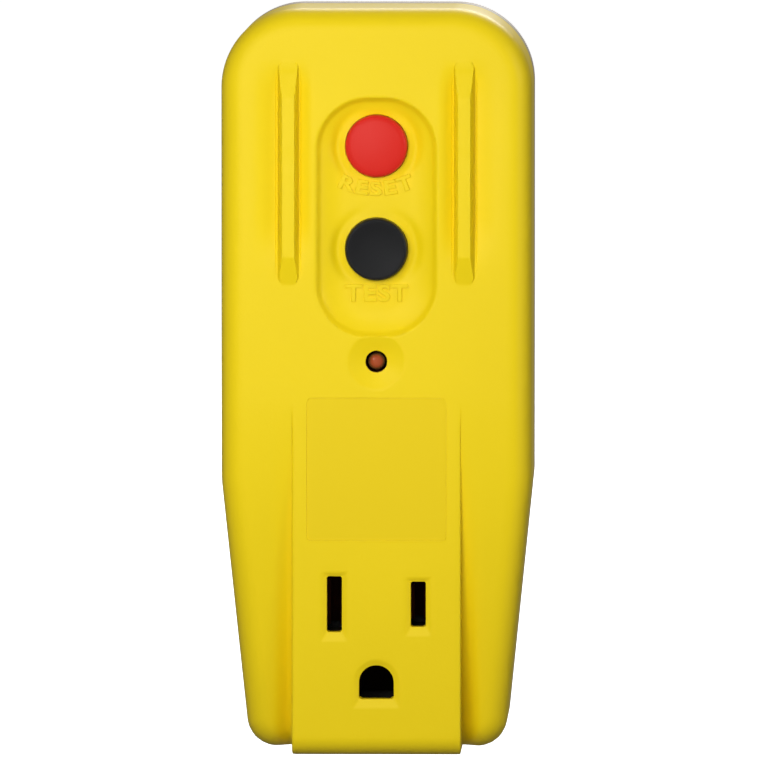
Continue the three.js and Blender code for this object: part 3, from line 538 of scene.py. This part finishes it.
def ground_arch(x, z):
    """Signed distance to the ground opening: a round head on straight sides and a flat foot."""
    head = np.hypot(x, z - GROUND_AT) - ARCH_HALF
    trunk = np.maximum(np.abs(x) - ARCH_HALF, GROUND_AT - ARCH_FOOT - z)
    return np.where(z > GROUND_AT, head, trunk)


def pad_depth(x, z):
    """Depth behind the pad's plane: its rounded foot, the lips of the openings, and the top edge
    that tucks in behind the face above."""
    t = np.clip((PAD_FOOT + PAD_ROUND - z) / PAD_ROUND, 0, 1)
    depth = PAD_ROUND * (1 - np.sqrt(1 - t ** 2)) + np.maximum(z - PAD_TOP, 0) * 1.5
    for cx, half in SLOTS:
        lip_side = (np.abs(x - cx) - SLOT_HALF) / SLOT_LIP
        lip_end = np.where(z > 0, (z - half) / SLOT_LIP_TOP, (-half - z) / SLOT_LIP_FOOT)
        depth = depth + LIP_DEPTH * (1 - np.clip(np.maximum(lip_side, lip_end), 0, 1))
    lip = np.where(z < GROUND_AT - ARCH_FOOT + 0.1, (GROUND_AT - ARCH_FOOT - z) / SLOT_LIP_FOOT,
                   ground_arch(x, z) / SLOT_LIP)
    lip = np.maximum(lip, (np.abs(x) - ARCH_HALF) / SLOT_LIP)
    return depth + LIP_DEPTH * (1 - np.clip(lip, 0, 1))


def slot(cx, half):
    """Signed distance to an upright blade slot centred on the blade line."""
    return lambda x, z: np.maximum(np.abs(x - cx) - SLOT_HALF, np.abs(z) - half)


def blank_recess(x, z):
    """The shallow recess that holds the blank plate, a hair wider than the plate."""
    bottom, top = blank_low.z / MM, blank_high.z / MM
    return round_box(x, z, 0, (bottom + top) / 2, 2 * (blank_high.x / MM + BLANK_GAP),
                     top - bottom + 2 * BLANK_GAP, 0.6 + BLANK_GAP)


pad_xs = gridlines((-PAD_HALF + PAD_EDGE, PAD_HALF - PAD_EDGE, 0.26))
pad_zs = gridlines((PAD_FOOT + PAD_EDGE, PAD_FOOT + 3.2, 0.2), (PAD_FOOT + 3.2, 8.7, 0.26),
                   (8.7, 10, 0.2), (10, 31, 0.5), (31, PAD_TOP, 0.2),
                   (PAD_TOP, PAD_TOP + PAD_TUCK, 0.2))
x, z, foot, on_rim, floors, tris = cut_sheet(
    pad_xs, pad_zs, None, [slot(*s) for s in SLOTS] + [ground_arch], [blank_recess])
points = np.stack([x, FACE + pad_depth(x, z) + HOLE_WALL * foot + BLANK_SINK * floors[0], z], 1)
pad_middle = (PAD_FOOT + PAD_TOP + PAD_TUCK + PAD_EDGE) / 2
pad_rim = lambda x, z: round_box(x, z, 0, pad_middle, 2 * PAD_HALF,
                                 2 * (pad_middle - PAD_FOOT), 0.6)
nx, nz = slope_of(pad_rim, x, z)
plain = PAD_HALF - 0.9
steps = rounded_edge(PAD_EDGE, 4, lambda x, z, back: FACE + pad_depth(0 * x + plain, z)
                     + np.minimum(PAD_EDGE, 3 * lobe_fall(z)) * back)
steps += [(PAD_EDGE, lambda x, z: SEAM - 6), (PAD_EDGE, lambda x, z: SEAM - 0.25),
          (PAD_EDGE - 0.2, lambda x, z: SEAM - 0.05), (PAD_EDGE - 2, lambda x, z: SEAM - 0.05)]
pad_sheet = skirt(points, tris, on_rim, nx, nz, steps)

front_cover = make_piece("front_cover", [body_sheet, pad_sheet], "housing", yellow)
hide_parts("front_housing")

# ---------------------------------------------------------------- blank plates
# Two thin blank plates that take the printed ratings on a sold piece, one in the
# recess above the outlet and one on the rear. Smooth polyester film, glued down.
film = moulded_plastic("label_film", (0.84, 0.615, 0.006), roughness=0.45, grain=1500,
                       depth=0.000004, tint=0.02, shine=0.35)


def dress(material, *nodes):
    """Give one material to CAD nodes that keep their own meshes."""
    for node in nodes:
        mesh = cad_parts[node].data
        mesh.materials.clear()
        mesh.materials.append(material)


dress(film, "front_label", "rear_label")

# ---------------------------------------------------------------- control words
# The plain function words RESET and TEST stand a little proud of the well floor.
# They are cut into the mould of the front cover, so they share its plastic.
WELL_FLOOR = FACE + WELL_DEPTH
LETTER_RISE = 0.3
LETTER_ROOT = 0.1


def raised_word(name, text, width, height, foot, bend=0.0):
    """Block letters scaled to a width and height, their baseline at a foot height on the well
    floor. A bend is the radius of a circle, centred above, round which the baseline runs."""
    curve = bpy.data.curves.new(name, "FONT")
    curve.body = text
    curve.align_x = "CENTER"
    curve.extrude = 0.02
    curve.bevel_depth = 0.03
    curve.offset = 0.012
    curve.space_character = 1.12
    curve.resolution_u = 6
    source = bpy.data.objects.new(name + "_text", curve)
    bpy.context.scene.collection.objects.link(source)
    bpy.context.view_layer.update()
    settled = source.evaluated_get(bpy.context.evaluated_depsgraph_get())
    mesh = bpy.data.meshes.new_from_object(settled)
    bpy.data.objects.remove(source)
    co = np.empty(len(mesh.vertices) * 3, np.float32)
    mesh.vertices.foreach_get("co", co)
    co = co.reshape(-1, 3)
    start, size = co.min(0), np.ptp(co, 0)
    along = ((co[:, 0] - start[0]) / size[0] - 0.5) * width
    up = (co[:, 1] - start[1]) / size[1] * height
    out = (co[:, 2] - start[2]) / size[2] * (LETTER_RISE + LETTER_ROOT) - LETTER_ROOT
    if bend:
        turn = along / bend
        along, up = (bend - up) * np.sin(turn), bend - (bend - up) * np.cos(turn)
    placed = np.stack([along, WELL_FLOOR - out, foot + up], 1) * MM
    mesh.vertices.foreach_set("co", placed.astype(np.float32).ravel())
    mesh.update()
    mesh.materials.clear()
    mesh.materials.append(yellow)
    word = bpy.data.objects.new(name, mesh)
    bpy.context.scene.collection.objects.link(word)
    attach(word, "housing")


raised_word("word_reset", "RESET", 12.4, 2.3, RESET_AT - 7.6, bend=14.0)
raised_word("word_test", "TEST", 9.6, 2.7, TEST_AT - 8.0)

# ---------------------------------------------------------------- push buttons
# Two round caps turned on the same stem and flange: the red one is slightly
# crowned, the black one is dished inside a rim. Glossy moulded plastic.
BUTTON_RADIUS = 4.72
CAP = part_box("reset_button")[0].y / MM
FLANGE = FACE + WELL_DEPTH + 2.5
FLANGE_RADIUS = 5.85
FLANGE_BACK = FLANGE + 1.1
STEM_RADIUS = 2.4
STEM_STEP = -21.9
PEG_RADIUS = 1.35
TURNED_SIDES = 96


def turned(profile, cx, cz, sides=TURNED_SIDES, loop=False, tilt=None):
    """A profile of (radius, y) pairs carried round a line along Y through (cx, cz). A radius of 0
    closes to one point. A loop joins the last pair to the first, for a ring. A tilt is a rule
    that moves y, given the place across."""
    rings = np.array([p for p in profile if p[0] > 0], float)
    t = np.linspace(0, 2 * math.pi, sides, endpoint=False)
    x = rings[:, :1] * np.cos(t)
    z = rings[:, :1] * np.sin(t)
    y = np.broadcast_to(rings[:, 1:], x.shape)
    if tilt:
        y = y + tilt(x, z, y)
    points = np.stack([x + cx, y, z + cz], -1).reshape(-1, 3)
    index = np.arange(x.size).reshape(x.shape)
    if loop:
        index = np.concatenate([index, index[:1]])
    after = np.roll(index, -1, 1)
    quads = np.stack([index[:-1], index[1:], after[1:], after[:-1]], -1).reshape(-1, 4)
    fans = []
    for end, ring, flip in ((0, index[0], False), (-1, index[-1], True)):
        if not loop and profile[end][0] <= 0:
            tip = np.full(sides, len(points))
            points = np.vstack([points, [cx, profile[end][1], cz]])
            around = [tip, np.roll(ring, -1), ring] if flip else [tip, ring, np.roll(ring, -1)]
            fans.append(np.stack(around, -1))
    return [points, quads, *fans]


red = moulded_plastic("red_button_plastic", (0.68, 0.022, 0.014), roughness=0.36, grain=2500,
                      depth=0.000004, tint=0.04, shine=0.25)
black = moulded_plastic("black_button_plastic", (0.012, 0.012, 0.013), roughness=0.38, grain=2500,
                        depth=0.000006, tint=0.1, shine=0.4)
flange_profile = [(BUTTON_RADIUS, FLANGE), (FLANGE_RADIUS, FLANGE), (FLANGE_RADIUS, FLANGE_BACK),
                  (STEM_RADIUS, FLANGE_BACK)]
reset_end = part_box("reset_button")[1].y / MM
crown = [(r, CAP + 0.3 * (r / 4.2) ** 2) for r in np.linspace(0, 4.2, 9)]
reset_profile = crown + [(4.5, CAP + 0.46), (4.66, CAP + 0.7), (BUTTON_RADIUS, CAP + 1.0),
                         *flange_profile, (STEM_RADIUS, STEM_STEP), (PEG_RADIUS, STEM_STEP),
                         (PEG_RADIUS, reset_end), (0, reset_end)]
reset_cap = make_piece("reset_cap", [turned(reset_profile, 0, RESET_AT)], "reset_assembly", red)
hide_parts("reset_button")

test_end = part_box("test_button")[1].y / MM
dish = [(r, CAP + 0.45 - 0.4 * (r / 3.9) ** 2.4) for r in np.linspace(0, 3.9, 10)]
test_profile = dish + [(4.15, CAP + 0.02), (4.3, CAP), (4.45, CAP + 0.04), (4.6, CAP + 0.17),
                       (4.69, CAP + 0.35), (BUTTON_RADIUS, CAP + 0.9), *flange_profile,
                       (STEM_RADIUS, test_end), (0, test_end)]
test_cap = make_piece("test_cap", [turned(test_profile, 0, TEST_AT)], "test_assembly", black)
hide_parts("test_button")

# ---------------------------------------------------------------- indicator lamp
# A small neon lamp stands in a dark brown sleeve at the bottom of the shallow
# dish. The lens is amber and glossy as glass, with painted shade that browns it towards its edge.
BORE = 1.6
SLEEVE_RADIUS = 2.0
LENS = 1.32
LENS_BACK = FACE + 8.2
LEAD_RADIUS = 0.25
LEAD_APART = 0.6


def lamp_glass_painted_edge_shade():
    """Glossy amber that turns brown, as painted shade, with the distance from the lamp's axis, with
    faint streaks.
    """
    material, nodes, shader, where = new_material("lamp_glass_painted_edge_shade")
    centre = add_node(nodes, "Mapping", Location=(0, 0, -LAMP_AT / LENS),
                      Scale=(1 / (LENS * MM), 0, 1 / (LENS * MM)))
    radius = nodes.new("ShaderNodeVectorMath")
    radius.operation = "LENGTH"
    # painted shade: the ramp darkens the amber to brown towards the lens's edge
    tones = add_node(nodes, "ValToRGB")
    tones.color_ramp.elements[0].position = 0.60
    tones.color_ramp.elements[0].color = (0.46, 0.085, 0.022, 1)
    tones.color_ramp.elements[1].position = 0.86
    tones.color_ramp.elements[1].color = (0.16, 0.075, 0.016, 1)
    streak = add_node(nodes, "TexNoise", Scale=2200)
    bump = add_node(nodes, "Bump", Distance=0.00001)
    shader.inputs["Roughness"].default_value = 0.12
    shader.inputs["Coat Weight"].default_value = 1.0
    join(material, (where, "Object", centre, "Vector"), (centre, "Vector", radius, 0),
         (radius, "Value", tones, "Fac"), (tones, "Color", shader, "Base Color"),
         (where, "Object", streak, "Vector"), (streak, "Fac", bump, "Height"),
         (bump, "Normal", shader, "Normal"))
    return material


sleeve_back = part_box("lamp_sleeve")[1].y / MM
sleeve_profile = [(BORE + 0.03, FACE + 0.93), (SLEEVE_RADIUS, FACE + 1.4),
                  (SLEEVE_RADIUS, sleeve_back), (BORE, sleeve_back), (BORE, FACE + 1.1)]
brown = moulded_plastic("brown_sleeve", (0.13, 0.035, 0.014), roughness=0.4, tint=0.15)
sleeve = make_piece("lamp_liner", [turned(sleeve_profile, 0, LAMP_AT, loop=True)], "housing", brown)
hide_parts("lamp_sleeve")

lens_profile = [(LENS * math.sin(t), FACE + 1.9 + 1.0 * (1 - math.cos(t)))
                for t in np.linspace(0, math.pi / 2, 14)]
lens_profile += [(LENS, LENS_BACK), (0, LENS_BACK)]
lead_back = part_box("indicator_lamp")[1].y / MM
lead_profile = [(0, LENS_BACK), (LEAD_RADIUS, LENS_BACK), (LEAD_RADIUS, lead_back), (0, lead_back)]
leads = [turned(lead_profile, cx, LAMP_AT, sides=16) for cx in (-LEAD_APART, LEAD_APART)]
lamp = make_piece("lamp_lens", [turned(lens_profile, 0, LAMP_AT), *leads], "housing", lamp_glass_painted_edge_shade())
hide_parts("indicator_lamp")

# ---------------------------------------------------------------- rear cover
# The warm grey rear half, a flat tray whose lip laps inside the front cover. It
# has counterbores for four screws, slots for the blades, a hole for the ground
# pin and a shallow recess for the rear plate.
REAR_EDGE = 1.0
REAR_SEAM = SEAM + 0.3
LIP_INSET = 1.3
LIP_HEIGHT = 1.5
BLADE_SLOT = (0.9, 3.325)
PIN_HOLE = 2.525
COUNTERBORE = 3.1
COUNTERBORE_DEPTH = 4.0
RECESS_GAP = 0.2
RECESS_DEPTH = 0.3
rear_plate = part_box("rear_label")
screw_places = []
for number in (1, 2, 3, 4):
    left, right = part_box(f"screw_{number}")
    screw_places.append(((left.x + right.x) / 2 / MM, (left.z + right.z) / 2 / MM))


def rear_recess(x, z):
    """The shallow recess that holds the rear plate."""
    bottom, top = rear_plate[0].z / MM, rear_plate[1].z / MM
    return round_box(x, z, 0, (bottom + top) / 2, 2 * (rear_plate[1].x / MM + RECESS_GAP),
                     top - bottom + 2 * RECESS_GAP, 1.2)


def blade_slot(cx):
    """Signed distance to the slot that a blade passes through."""
    return lambda x, z: np.maximum(np.abs(x - cx) - BLADE_SLOT[0], np.abs(z) - BLADE_SLOT[1])


rear_rim = lambda x, z: body_outline(x, z) + REAR_EDGE
rear_xs = gridlines((-HALF, HALF, 0.5), (-19, -13, 0.3), (13, 19, 0.3), (-7.6, -5.1, 0.2),
                    (5.1, 7.6, 0.2), (-2.8, 2.8, 0.25))
rear_zs = gridlines((LOBE_FOOT, TOP, 0.5), (77.4, 83.8, 0.3), (-18.9, -12.3, 0.3),
                    (-9.2, -8.7, 0.25), (-3.8, 3.8, 0.25))
x, z, foot, on_rim, floors, tris = cut_sheet(
    rear_xs, rear_zs, rear_rim,
    [blade_slot(-POLE), blade_slot(POLE), circle(0, GROUND_AT, PIN_HOLE)],
    [circle(cx, cz, COUNTERBORE) for cx, cz in screw_places] + [rear_recess])
sunk = COUNTERBORE_DEPTH * np.any(floors[:4], 0) + RECESS_DEPTH * floors[4]
points = np.stack([x, -sunk - HOLE_WALL * foot, z], 1)
nx, nz = slope_of(rear_rim, x, z)
steps = rounded_edge(REAR_EDGE, 6, lambda x, z, back: -REAR_EDGE * back)
steps += [(REAR_EDGE, lambda x, z: REAR_SEAM + 0.25), (REAR_EDGE - 0.2, lambda x, z: REAR_SEAM),
          (REAR_EDGE - LIP_INSET, lambda x, z: REAR_SEAM),
          (REAR_EDGE - LIP_INSET, lambda x, z: SEAM - LIP_HEIGHT),
          (REAR_EDGE - WALL, lambda x, z: SEAM - LIP_HEIGHT),
          (REAR_EDGE - WALL, lambda x, z: -WALL)]
points, tris, quads = skirt(points, tris, on_rim, nx, nz, steps)
grey = moulded_plastic("grey_moulding", (0.50, 0.43, 0.34), roughness=0.5)
rear_cover = make_piece("rear_cover", [(points, tris[:, ::-1], quads[:, ::-1])], "housing", grey)
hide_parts("back_housing")

# ---------------------------------------------------------------- screws
# Four zinc-plated pan-head screws sit deep in the counterbores, each driven
# home by hand, so the cross recesses stand at different angles.
HEAD_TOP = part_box("screw_1")[1].y / MM
HEAD_RADIUS = 2.75
HEAD_THICK = 1.8
SHANK_RADIUS = 1.2
CROSS_HALF = 0.42
CROSS_REACH = 1.7
CROSS_DEPTH = 1.1


def worked_metal(name, colour, roughness, stretch=(1, 1, 1)):
    """Bare metal: fine scratches stretched along one way that vary the tone and the gloss."""
    material, nodes, shader, where = new_material(name)
    pull = add_node(nodes, "Mapping", Scale=stretch)
    lines = add_node(nodes, "TexNoise", Scale=900, Detail=5)
    tones = add_node(nodes, "ValToRGB")
    tones.color_ramp.elements[0].color = (*[v * 0.86 for v in colour], 1)
    tones.color_ramp.elements[1].color = (*[min(1.0, v * 1.1) for v in colour], 1)
    gloss = add_node(nodes, "MapRange", To_Min=roughness - 0.05, To_Max=roughness + 0.10)
    bump = add_node(nodes, "Bump", Distance=0.000004)
    shader.inputs["Metallic"].default_value = 1.0
    join(material, (where, "Object", pull, "Vector"), (pull, "Vector", lines, "Vector"),
         (lines, "Fac", tones, "Fac"), (tones, "Color", shader, "Base Color"),
         (lines, "Fac", gloss, "Value"), (gloss, "Result", shader, "Roughness"),
         (lines, "Fac", bump, "Height"), (bump, "Normal", shader, "Normal"))
    return material


def cross_recess(angle):
    """How far the driver's cross goes in at a place on the head, turned by an angle."""
    c, s = math.cos(angle), math.sin(angle)

    def sink(x, z, y):
        u, v = np.abs(c * x + s * z), np.abs(c * z - s * x)
        sd = np.minimum(np.maximum(u - CROSS_REACH, v - CROSS_HALF),
                        np.maximum(u - CROSS_HALF, v - CROSS_REACH))
        return -CROSS_DEPTH * np.clip(0.5 - sd / 0.2, 0, 1) * (y > HEAD_TOP - 0.5)
    return sink


zinc = worked_metal("zinc_plate", (0.62, 0.63, 0.64), 0.34)
shank_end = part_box("screw_1")[0].y / MM
for number, angle in enumerate((12, 57, 81, 34)):
    cx, cz = screw_places[number]
    head = [(r, HEAD_TOP - 0.32 * (r / HEAD_RADIUS) ** 3) for r in np.linspace(2.3, 0.08, 24)]
    under = HEAD_TOP - HEAD_THICK
    screw_profile = [(0, shank_end), (0.5, shank_end), (SHANK_RADIUS, shank_end + 1.2),
                     (SHANK_RADIUS, under), (HEAD_RADIUS - 0.1, under), (HEAD_RADIUS, under + 0.2),
                     (HEAD_RADIUS, HEAD_TOP - 0.7), (2.6, HEAD_TOP - 0.4), *head,
                     (0, HEAD_TOP - CROSS_DEPTH)]
    body = turned(screw_profile, cx, cz, sides=120, tilt=cross_recess(math.radians(angle)))
    screw = make_piece(f"screw_head_{number + 1}", [body], "housing", zinc)
    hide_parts(f"screw_{number + 1}")

# ---------------------------------------------------------------- blades and ground pin
# Two flat brass blades, blanked from strip with a chamfered tip and a round
# hole, and a turned brass ground pin. Shoulders inside bear on the rear wall.
BLADE_HALF = 0.75
BLADE_WIDE = 3.175
BLADE_EDGE = 0.2
BLADE_GRID = 0.22
BLADE_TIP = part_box("blade_hot")[1].y / MM
BLADE_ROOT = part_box("blade_hot")[0].y / MM
SHOULDER = -2.5
SHOULDER_BACK = -5.4
SHOULDER_WIDE = 4.775
LUG_TOP = 7.2
LUG_FRONT = -5.2
BLADE_HOLE = (11.7, 0.0, 1.6)


def blade_outline(y, z):
    """Signed distance to the blade's side view: a strip with a chamfered tip, shoulders and a
    lug."""
    wide = np.abs(z)
    chamfer = (wide - BLADE_WIDE + (y - BLADE_TIP + 1.3) * 0.95) / 1.38
    strip = np.maximum.reduce([wide - BLADE_WIDE, y - BLADE_TIP, BLADE_ROOT - y, chamfer])
    shoulder = np.maximum.reduce([wide - SHOULDER_WIDE, y - SHOULDER, SHOULDER_BACK - y])
    lug = np.maximum.reduce([z - LUG_TOP, -z, y - LUG_FRONT, BLADE_ROOT - y])
    return np.minimum.reduce([strip, shoulder, lug])


blade_rim = lambda y, z: blade_outline(y, z) + BLADE_EDGE
u, v, foot, on_rim, _, tris = cut_sheet(
    gridlines((BLADE_ROOT, BLADE_TIP, BLADE_GRID)), gridlines((-5, LUG_TOP, BLADE_GRID)),
    blade_rim, [circle(*BLADE_HOLE)])
nu, nv = slope_of(blade_rim, u, v)
steps = rounded_edge(BLADE_EDGE, 3, lambda x, z, back: BLADE_EDGE * back - BLADE_HALF)
steps += [(BLADE_EDGE, lambda x, z: 0 * x)]
side, tris, quads = skirt(np.stack([u, -BLADE_HALF * (foot == 0), v], 1), tris, on_rim, nu, nv,
                          steps)
brass = worked_metal("brass_strip", (0.66, 0.47, 0.20), 0.30, stretch=(1, 0.12, 1))
for name, node, cx in (("blade_line", "blade_hot", POLE), ("blade_return", "blade_neutral", -POLE)):
    right = np.stack([cx - side[:, 1], side[:, 0], side[:, 2]], 1)
    left = np.stack([cx + side[:, 1], side[:, 0], side[:, 2]], 1)
    blade = make_piece(name, [(right, tris, quads), (left, tris[:, ::-1], quads[:, ::-1])],
                       "housing", brass)
    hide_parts(node)

pin_low, pin_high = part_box("ground_pin")
PIN_RADIUS = 2.375
PIN_NOSE = 2.2
PIN_COLLAR = 3.9
PIN_NECK = 2
pin_tip = pin_high.y / MM
nose = [(PIN_RADIUS * math.cos(t), pin_tip - PIN_NOSE + PIN_NOSE * math.sin(t))
        for t in np.linspace(0, math.pi / 2 - 0.15, 10)]
pin_profile = [(0, pin_low.y / MM), (PIN_NECK, pin_low.y / MM), (PIN_NECK, SHOULDER_BACK),
               (PIN_COLLAR, SHOULDER_BACK), (PIN_COLLAR, SHOULDER), (PIN_RADIUS, SHOULDER), *nose,
               (0, pin_tip)]
turned_brass = worked_metal("brass_turned", (0.66, 0.47, 0.20), 0.28, stretch=(0.2, 1, 0.2))
pin = make_piece("earth_pin", [turned(pin_profile, 0, GROUND_AT)], "housing", turned_brass)
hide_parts("ground_pin")

# ---------------------------------------------------------------- outlet inside
# A black resin block holds the sprung copper strips that grip a plug's blades,
# and the brass contact and strap of the ground path lie between them. The strips
# and the ground contact behind the openings are painted near black as painted shade, so that little
# shows through the slots.
resin = moulded_plastic("black_resin", (0.022, 0.021, 0.020), roughness=0.5, tint=0.12)
dress(resin, "outlet_block", "core_cup", "control_chip", "trip_thyristor", "diode_left",
      "diode_right")
copper = worked_metal("copper_strip", (0.72, 0.34, 0.18), 0.36, stretch=(1, 1, 0.15))
dress(copper, "line_terminal_hot", "line_terminal_neutral", "contact_bar_hot",
      "contact_bar_neutral", "test_leaf")
# painted shade: the load strips and the ground contact seen through the openings are coloured
# almost black
dress(worked_metal("copper_painted_shade", (0.11, 0.03, 0.012), 0.5, stretch=(1, 1, 0.15)),
      "load_strip_hot", "load_strip_neutral")
dress(worked_metal("brass_painted_shade", (0.020, 0.010, 0.005), 0.5, stretch=(1, 1, 0.15)),
      "ground_contact")
dress(brass, "ground_strap")

# ---------------------------------------------------------------- circuit board
# A single-sided board with green mask, and the parts soldered to it: capacitors
# in blue sleeves, an orange varistor and a cream wirewound resistor.


def masked_board():
    """Green solder mask over faint tracks: a brick pattern of paths stands in for the tone."""
    material = moulded_plastic("board_mask", (0.014, 0.10, 0.045), roughness=0.35, grain=900,
                               depth=0.000004)
    nodes = material.node_tree.nodes
    turn = add_node(nodes, "Mapping", Rotation=(math.radians(90), 0, 0))
    tracks = add_node(nodes, "TexBrick", Scale=190, Mortar_Size=0.06,
                      Color1=(0.012, 0.10, 0.042, 1), Color2=(0.018, 0.13, 0.055, 1),
                      Mortar=(0.030, 0.19, 0.075, 1))
    where = next(n for n in nodes if n.type == "TEX_COORD")
    join(material, (where, "Object", turn, "Vector"), (turn, "Vector", tracks, "Vector"),
         (tracks, "Color", nodes["Principled BSDF"], "Base Color"))
    return material


dress(masked_board(), "circuit_board")
dress(moulded_plastic("blue_sleeve", (0.025, 0.075, 0.27), roughness=0.4, tint=0.08),
      "film_capacitor", "storage_capacitor")
dress(moulded_plastic("orange_epoxy", (0.55, 0.16, 0.014), roughness=0.35, tint=0.08),
      "surge_varistor")
cream = moulded_plastic("cream_nylon", (0.69, 0.64, 0.50), roughness=0.5)
dress(cream, "series_resistor", "button_bracket", "contact_carriage", "solenoid_bobbin")
dress(moulded_plastic("barrier_paper", (0.25, 0.27, 0.24), roughness=0.8, grain=1300,
                      depth=0.00003, tint=0.12), "barrier_sheet")

# ---------------------------------------------------------------- cores and wires
# Two grey ferrite rings sense a leak to earth. The black and the white supply
# wire, soft insulation over strand, pass through both rings.
dress(moulded_plastic("ferrite", (0.045, 0.047, 0.052), roughness=0.7, grain=2600,
                      depth=0.00003, tint=0.15), "sense_core", "neutral_core")
dress(moulded_plastic("black_insulation", (0.012, 0.012, 0.012), roughness=0.45), "wire_hot")
dress(moulded_plastic("white_insulation", (0.75, 0.75, 0.71), roughness=0.45), "wire_neutral")

# ---------------------------------------------------------------- springs, latch and solenoid
# Drawn steel springs return the buttons and the plunger, a steel latch plate
# holds the carriage, and enamelled copper wire is wound on the bobbin.


def wound_wire():
    """Rows of fine enamelled wire: bands along the winding's height that dent it."""
    material = worked_metal("enamelled_wire", (0.62, 0.24, 0.09), 0.30, stretch=(1, 1, 4))
    nodes = material.node_tree.nodes
    rows = add_node(nodes, "TexWave", Scale=900)
    rows.bands_direction = "Z"
    where = next(n for n in nodes if n.type == "TEX_COORD")
    bump = next(n for n in nodes if n.type == "BUMP")
    bump.inputs["Distance"].default_value = 0.00006
    join(material, (where, "Object", rows, "Vector"), (rows, "Fac", bump, "Height"))
    return material


SPRING_RADIUS = 3.3
SPRING_WIRE = 0.3
SPRING_TURNS = 4.5
WIRE_SIDES = 12
WIRE_STEPS = 48
RESET_TRAVEL = 2.2
TEST_TRAVEL = 1.6


def wound_spring(start, end, cz):
    """Round wire carried along a helix about a line along Y through (0, cz). The first and last
    half turns lie flat, as closed ends do, and both wire ends are capped."""
    count = int(SPRING_TURNS * WIRE_STEPS) + 1
    turns = np.linspace(0, SPRING_TURNS, count)
    rise = np.clip((turns - 0.5) / (SPRING_TURNS - 1), 0, 1)
    y = start + SPRING_WIRE + (end - start - 2 * SPRING_WIRE) * rise
    a = 2 * math.pi * turns[:, None]
    b = np.linspace(0, 2 * math.pi, WIRE_SIDES, endpoint=False)[None, :]
    reach = SPRING_RADIUS + SPRING_WIRE * np.cos(b)
    points = np.stack([reach * np.cos(a), y[:, None] + SPRING_WIRE * np.sin(b),
                       cz + reach * np.sin(a)], -1)
    index = np.arange(count * WIRE_SIDES).reshape(count, WIRE_SIDES)
    after = np.roll(index, -1, 1)
    quads = np.stack([after[:-1], after[1:], index[1:], index[:-1]], -1).reshape(-1, 4)
    middles = points[[0, -1]].mean(1)
    caps = [np.stack([np.full(WIRE_SIDES, index.size), after[0], index[0]], -1),
            np.stack([np.full(WIRE_SIDES, index.size + 1), index[-1], after[-1]], -1)]
    return [np.concatenate([points.reshape(-1, 3), middles]), quads, *caps]


steel = worked_metal("drawn_steel", (0.56, 0.57, 0.58), 0.35)
for name, node, cz, joint, travel in (
        ("reset_coil", "reset_spring", RESET_AT, "reset_press", RESET_TRAVEL),
        ("test_coil", "test_spring", TEST_AT, "test_press", TEST_TRAVEL)):
    start, end = (corner.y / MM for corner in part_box(node))
    coil = make_piece(name, [wound_spring(start, end, cz)], "housing", steel,
                      smooth_angle=60)
    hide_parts(node)
    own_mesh(coil)
dress(steel, "plunger_spring", "reset_pin", "latch_plate", "solenoid_frame", "solenoid_plunger")
dress(wound_wire(), "solenoid_winding")
